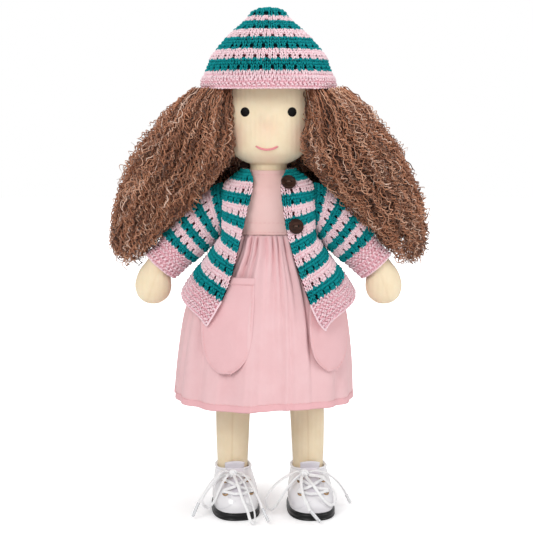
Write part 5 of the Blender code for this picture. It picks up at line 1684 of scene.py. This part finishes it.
upper_rows, upper_columns = 90, 240
around = np.arange(upper_columns) / upper_columns
up = np.linspace(0, 1, upper_rows)
upper_net = shoe_net(up, around)
upper_net[:, :, 2] -= collar_drop * (up[:, None] ** 4)
upper_outward = outward_of(upper_net, centre=(0, -0.008))
sole_rings = ((0.00, 0.965), (0.05, 0.990), (0.12, 1.000), (0.30, 1.000), (0.34, 0.990), (0.40, 0.990),
              (0.44, 1.000), (0.80, 1.000), (0.93, 0.992), (1.00, 0.965))
sole_front = sole_length - sole_back
tongue_rows, tongue_columns = 44, 25
tongue_inset = 0.0019
for label in ("left", "right"):
    net, outward = upper_net, upper_outward
    centre = (net[:-1] + np.roll(net[:-1], -1, axis=1)) / 2
    throat = ((np.abs(centre[..., 0]) < throat_half(net[:-1, :, 2])) & (centre[..., 1] < 0)
              & (centre[..., 2] > throat_low))
    upper = cloth_piece(label + "_patent_upper", on_foot(net - outward * upper_thickness / 2, label),
                        upper_thickness, white_patent, closed=True, keep=~throat)
    round_edge = upper.modifiers.new("edge", "BEVEL")
    round_edge.width = 0.00025
    round_edge.segments = 2
    round_edge.limit_method = "ANGLE"
    wear(upper, label, "white_patent", "upper")

    lines = []
    for way in (-1, 1):
        for gap_out in (0.0016, 0.0026):
            lines.append([on_leather(net, outward, way * (throat_half(z) + gap_out), z)
                          for z in np.linspace(throat_low - 0.001, upper_top - 0.0012, 36)])
        lines.append([on_leather(net, outward, way * (0.0020 + 0.0112 * share ** 0.9),
                                 throat_low - 0.0020 - 0.0062 * math.sin(share * math.pi / 2))
                      for share in np.linspace(0, 1, 50)])
    for number, line in enumerate(lines):
        stitches = running_stitches(f"{label}_shoe_stitches_{number + 1}", on_foot(np.array(line), label),
                                    0.0010, 0.0004, 0.00014, shoe_thread)
        wear(stitches, label, "white_patent", "upper")
    rim = joined_round(net[-1])
    in_gap = (np.abs(rim[:, 0]) < throat_width / 2 * 1.15) & (rim[:, 1] < 0)
    rim = np.roll(net[-1], -int(np.flatnonzero(in_gap)[-1]) - 1, axis=0)
    rim = rim[(np.abs(rim[:, 0]) >= throat_width / 2 * 1.15) | (rim[:, 1] >= 0)] + (0, 0, -0.0002)
    collar = tube_piece(label + "_collar_roll", on_foot(rim, label)[None], 0.00075, 10, white_patent)
    wear(collar, label, "white_patent", "upper")

    across, along = squared(2 * math.pi * around, shoe_square)
    rings = []
    for rise_share, spread in sole_rings:
        y = (sole_back - sole_front) / 2 + (sole_front + sole_back) / 2 * along * spread
        rings.append(np.stack([sole_width / 2 * across * (1 - heel_narrowing * along) * spread, y,
                               np.full(len(y), sole_thickness * rise_share)], axis=-1))
    sole = skinned(label + "_rubber_sole", on_foot(np.stack(rings), label), sole_rubber)
    wear(sole, label, "black_rubber", "sole")

    rows = []
    for share in np.linspace(0, 1, tongue_rows):
        z = (throat_low - 0.0025) + (upper_top - throat_low + 0.0048) * share
        over = max(0.0, z - upper_top + collar_drop)
        level = (min(z, upper_top - 0.0003) - upper_base) / (upper_top - upper_base)
        ring = shoe_net(np.array((level,)), around, -tongue_inset)[0]
        ring = ring[ring[:, 1] < 0]
        order = np.argsort(ring[:, 0])
        place = np.linspace(-1, 1, tongue_columns)
        x = place * tongue_width * (0.92 + 0.14 * share) / 2
        y = np.interp(x, ring[order, 0], ring[order, 1])
        crown = 0.0012 * (1 - place ** 2) * np.clip(over / 0.004, 0, 1)
        rows.append(np.stack([x, y - 0.35 * over - 0.0006 * math.sin(over / 0.005 * math.pi), z + crown],
                             axis=-1))
    tongue = cloth_piece(label + "_patent_tongue", on_foot(np.array(rows), label), 0.0011, tongue_patent)
    wear(tongue, label, "white_patent", "tongue")

    foot_net = on_foot(net, label)
    for spot_name in ("outer_low", "outer_high", "inner_low", "inner_high"):
        low, high = (np.array(corner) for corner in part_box(f"{label}_shoe_eyelet_{spot_name}"))
        nearest = np.argmin(np.linalg.norm(foot_net.reshape(-1, 3) - (low + high) / 2, axis=1))
        here = foot_net.reshape(-1, 3)[nearest]
        facing_out = on_foot(net + outward, label).reshape(-1, 3)[nearest] - here
        sideways, upward = facing_frame(facing_out)
        turn = np.arange(36) * 2 * math.pi / 36
        round_way = np.cos(turn)[:, None] * sideways + np.sin(turn)[:, None] * upward
        rings = []
        for angle in np.linspace(0, 2 * math.pi, 15)[:-1]:
            reach = (eyelet_radius + eyelet_hole) / 2 + (eyelet_radius - eyelet_hole) / 2 * math.cos(angle)
            rise = 0.0003 + 0.00055 * math.sin(angle)
            rings.append(here + facing_out * rise + reach * round_way)
        rings = np.stack(rings + rings[:1])
        eyelet = add_mesh(f"{label}_{spot_name}_eyelet", rings.reshape(-1, 3),
                          grid_faces(len(rings), 36, closed=True), eyelet_brass)
        face_outward(eyelet, merge=0.00001)
        wear(eyelet, label, "brass", "eyelet_" + spot_name)


# The laces
# Soft flat white laces of woven cotton, knotted over the tongue in a bow, with a clear plastic aglet
# crimped on each cut end. Each loop and tail is a stretch of lace that leaves the knot.
lace_width = 0.0016
lace_broad = 1.16
lace_flat = 0.66
knot_radius = 0.0029
knot_clear = 0.0003
aglet_length = 0.0090
aglet_radius = 0.0010
lace_step = 0.0008
lace_sides = 14
knots = {"right": (-0.0215, -0.0207, 0.0252), "left": (0.0218, -0.0207, 0.0252)}
lace_routes = {
    "right": {
        "front_tail": ((-.0268, -.0214, .0272), (-.0295, -.0236, .0262), (-.0323, -.0260, .0238),
                       (-.0351, -.0280, .0206), (-.0382, -.0295, .0161), (-.0413, -.0310, .0110),
                       (-.0438, -.0325, .0060), (-.0455, -.0335, .0021)),
        "side_loop": ((-.0250, -.0236, .0246), (-.0280, -.0266, .0206), (-.0303, -.0280, .0157),
                      (-.0328, -.0280, .0098), (-.0362, -.0260, .0058), (-.0390, -.0232, .0056),
                      (-.0404, -.0222, .0088), (-.0384, -.0213, .0132), (-.0345, -.0205, .0178),
                      (-.0303, -.0200, .0222), (-.0265, -.0197, .0242)),
        "toe_loop": ((-.0207, -.0252, .0248), (-.0186, -.0326, .0220), (-.0154, -.0396, .0146),
                     (-.0124, -.0432, .0086), (-.0110, -.0461, .0047), (-.0096, -.0463, .0022),
                     (-.0083, -.0435, .0022), (-.0082, -.0400, .0062), (-.0104, -.0362, .0130),
                     (-.0136, -.0316, .0204), (-.0156, -.0276, .0228), (-.0174, -.0246, .0242)),
        "inner_tail": ((-.0165, -.0216, .0258), (-.0124, -.0250, .0230), (-.0091, -.0296, .0190),
                       (-.0061, -.0340, .0138), (-.0034, -.0382, .0088), (-.0014, -.0410, .0046),
                       (.0001, -.0426, .0018)),
    },
    "left": {
        "inner_loop": ((.0165, -.0208, .0264), (.0130, -.0224, .0250), (.0068, -.0236, .0212),
                       (.0017, -.0243, .0162), (-.0014, -.0245, .0109), (-.0012, -.0242, .0058),
                       (.0012, -.0246, .0036), (.0040, -.0255, .0056), (.0066, -.0262, .0100),
                       (.0110, -.0258, .0168), (.0168, -.0235, .0232)),
        "toe_tail": ((.0200, -.0253, .0244), (.0196, -.0304, .0206), (.0211, -.0362, .0150),
                     (.0241, -.0402, .0100), (.0275, -.0425, .0054), (.0306, -.0435, .0020)),
        "side_loop": ((.0260, -.0226, .0240), (.0318, -.0242, .0236), (.0368, -.0252, .0196),
                      (.0402, -.0262, .0139), (.0406, -.0280, .0100), (.0378, -.0308, .0084),
                      (.0338, -.0336, .0117), (.0296, -.0340, .0174), (.0264, -.0316, .0216),
                      (.0236, -.0261, .0234)),
        "outer_tail": ((.0268, -.0196, .0264), (.0312, -.0186, .0258), (.0359, -.0176, .0240),
                       (.0402, -.0162, .0206), (.0438, -.0146, .0164), (.0479, -.0100, .0090),
                       (.0500, -.0065, .0036), (.0508, -.0048, .0016)),
    },
}

lace_cotton = new_finish("white_lace_cotton", (0.93, 0.93, 0.93), 0.85, {"Sheen Weight": 0.2})
set_shader(lace_cotton, {"Base Color": blend_colours(
    lace_cotton, ramp(lace_cotton, noise_at(lace_cotton, 900, 4), 0.3, 0.7), (0.90, 0.89, 0.90),
    (0.97, 0.97, 0.97))})
herringbone = add_node(lace_cotton, "TexWave", {
    "Vector": add_node(lace_cotton, "UVMap", uv_map="cut").outputs[0], "Scale": 700,
    "Distortion": 0.8}, bands_direction="DIAGONAL")
raised(lace_cotton, herringbone.outputs["Fac"], 0.00012, 0.8)
clear_aglet = new_finish("clear_aglet_plastic", (0.80, 0.81, 0.83), 0.12, {
    "Transmission Weight": 0.35, "Coat Weight": 0.5})
raised(clear_aglet, noise_at(clear_aglet, 800, 2), 0.00008, 0.3)


def smooth_run(points):
    """Evenly spaced points on a smooth curve through the given ones."""
    fine = finer(np.asarray(points, float), 24)
    length = run_along(fine)[-1]
    return points_at(fine, np.linspace(0, length, max(8, int(length / lace_step))))


def lace_ribbon(name, path, broad_side=None):
    """A flat lace along a path: a flattened tube with rounded edges, its broad side up where it lies."""
    path = np.asarray(path, float)
    along = np.gradient(path, axis=0)
    along /= np.linalg.norm(along, axis=1, keepdims=True)
    if broad_side is None:
        broad_side = np.cross(np.cross(along[0], (0, 0, 1.0)), along[0])
    normal = broad_side
    rings = []
    angle = np.arange(lace_sides) * 2 * math.pi / lace_sides
    for index, point in enumerate(path):
        normal = normal - along[index] * np.dot(normal, along[index])
        normal /= np.linalg.norm(normal)
        wide = np.cross(along[index], normal)
        rings.append(point + lace_width / 2 * (lace_broad * np.cos(angle)[:, None] * wide
                                               + lace_flat * np.sin(angle)[:, None] * normal))
    net = np.stack(rings)
    piece = skinned(name, net, lace_cotton)
    lay_cut(piece, np.broadcast_to(angle * lace_width / 2, net.shape[:2]),
            np.broadcast_to(run_along(path)[:, None], net.shape[:2]))
    return piece


eyelet_spots = {"outer_low": (-0.0092, 0.0150), "outer_high": (-0.0084, 0.0205),
                "inner_low": (0.0092, 0.0150), "inner_high": (0.0084, 0.0205)}
lace_rim_rise = 0.0012
lacing = (("outer_low", "inner_low", 0.0004), ("inner_low", "outer_high", 0.0009),
          ("outer_low", "inner_high", 0.0020))


def on_front(label, x, z, lift):
    """A point on the front of a shoe, lifted off the leather, where the foot stands."""
    return on_foot(on_leather(upper_net, upper_outward, x, z, lift), label)


def through_eyelet(label, spot, toward):
    """A lace's way up out of an eyelet and over its rim, towards a place on the shoe."""
    x, z = eyelet_spots[spot]
    middle = on_front(label, x, z, 0)
    out = on_front(label, x, z, 1) - middle
    lean = toward - middle
    lean -= out * np.dot(lean, out)
    lean /= np.linalg.norm(lean)
    rim = (eyelet_radius + eyelet_hole) / 2
    return [middle + lean * side + out * up for side, up in
            ((0.1 * rim, -0.0012), (0.2 * rim, 0.0002), (0.75 * rim, 0.9 * lace_rim_rise),
             (1.5 * rim, lace_rim_rise))]


def leaving_knot(knot, toward):
    """Where a lace that heads for a place leaves the knot."""
    return knot + (toward - knot) / np.linalg.norm(toward - knot) * (knot_radius + knot_clear)


for label in ("left", "right"):
    knot = np.array(knots[label])
    for start, end, lift in lacing:
        (x, z), (end_x, end_z) = eyelet_spots[start], eyelet_spots[end]
        over = [on_front(label, x + (end_x - x) * share, z + (end_z - z) * share, lift)
                for share in (0.35, 0.5, 0.65)]
        path = through_eyelet(label, start, over[1]) + over + through_eyelet(label, end, over[1])[::-1]
        stretch = lace_ribbon(f"{label}_lacing_{start}_{end}", smooth_run(path), path[0] - path[-1])
        wear(stretch, label, "lace_cord", "lacing")
    for start in ("outer_high", "inner_high"):
        path = through_eyelet(label, start, knot)
        path += [path[-1] + (knot - path[-1]) * share for share in (0.5, 1)]
        tie = lace_ribbon(f"{label}_lacing_{start}_knot", smooth_run(path), path[0] - path[-1])
        wear(tie, label, "lace_cord", "lacing")

    turns = []
    for tilt, twist, reach in ((0.2, 0.1, 0.74), (1.2, 0.9, 0.70), (-0.8, 2.0, 0.72)):
        angle = np.linspace(0, 2 * math.pi, 41)
        circle = np.stack([np.cos(angle), 0.8 * np.sin(angle), 0.35 * np.sin(2 * angle + twist)], axis=-1)
        turn = np.array(Matrix.Rotation(tilt, 3, "Y")
                        @ Matrix.Rotation(math.pi / 2 + twist * 0.4, 3, "X"))
        turns.append(knot + circle @ turn.T * knot_radius * reach)
    turn_points, turn_faces = tubes(np.array(turns), lace_width * 0.42, 10)
    centre = np.array([knot + (0, 0, k) for k in np.linspace(-0.0016, 0.0016, 9)])
    swell = 0.0017 * np.sqrt(1 - (np.linspace(-0.95, 0.95, 9)) ** 2)
    core_points, core_faces = tubes(centre[None], swell[None], 16)
    points = np.concatenate([turn_points, core_points])
    bow_knot = add_mesh(label + "_bow_knot", points,
                        np.concatenate([turn_faces, core_faces + len(turn_points)]), lace_cotton)
    lay_cut(bow_knot, points[:, 0], points[:, 2])
    wear(bow_knot, label, "lace_cord", "lace_knot")

    for name, route in lace_routes[label].items():
        route = np.array(route)
        first = leaving_knot(knot, route[0])
        is_loop = name.endswith("loop")
        points = [first, *route]
        if is_loop:
            points.append(leaving_knot(knot, route[-1]))
        path = smooth_run(points)
        if not is_loop:
            end = route[-1]
            toward = (end - route[-2]) / np.linalg.norm(end - route[-2])
            start = end - toward * aglet_length
            path = path[np.linalg.norm(path - end, axis=1) > aglet_length + lace_width]
            inside = start + toward * np.linspace(-0.0008, aglet_length - 0.0006, 12)[:, None]
            path = smooth_run(np.concatenate([path[::3], inside[::3]]))
            length = np.linspace(0, 1, 24)
            crimp = aglet_radius * (1 - 0.10 * np.exp(-((length - 0.18) / 0.04) ** 2)
                                    - 0.10 * np.exp(-((length - 0.30) / 0.04) ** 2))
            crimp = crimp * (1 - 0.35 * np.clip((length - 0.94) / 0.06, 0, 1))
            core = start + toward * aglet_length * length[:, None]
            tube_points, tube_faces = tubes(core[None], crimp[None], 20)
            ends = [list(range(20)), list(range(len(tube_points) - 20, len(tube_points)))[::-1]]
            aglet = add_mesh(f"{label}_{name}_tip", tube_points, tube_faces.tolist() + ends, clear_aglet)
            wear(aglet, label, "aglet_plastic", name + "_aglet")
        lace = lace_ribbon(f"{label}_{name}_lace", path)
        wear(lace, label, "lace_cord", "lace_" + name)
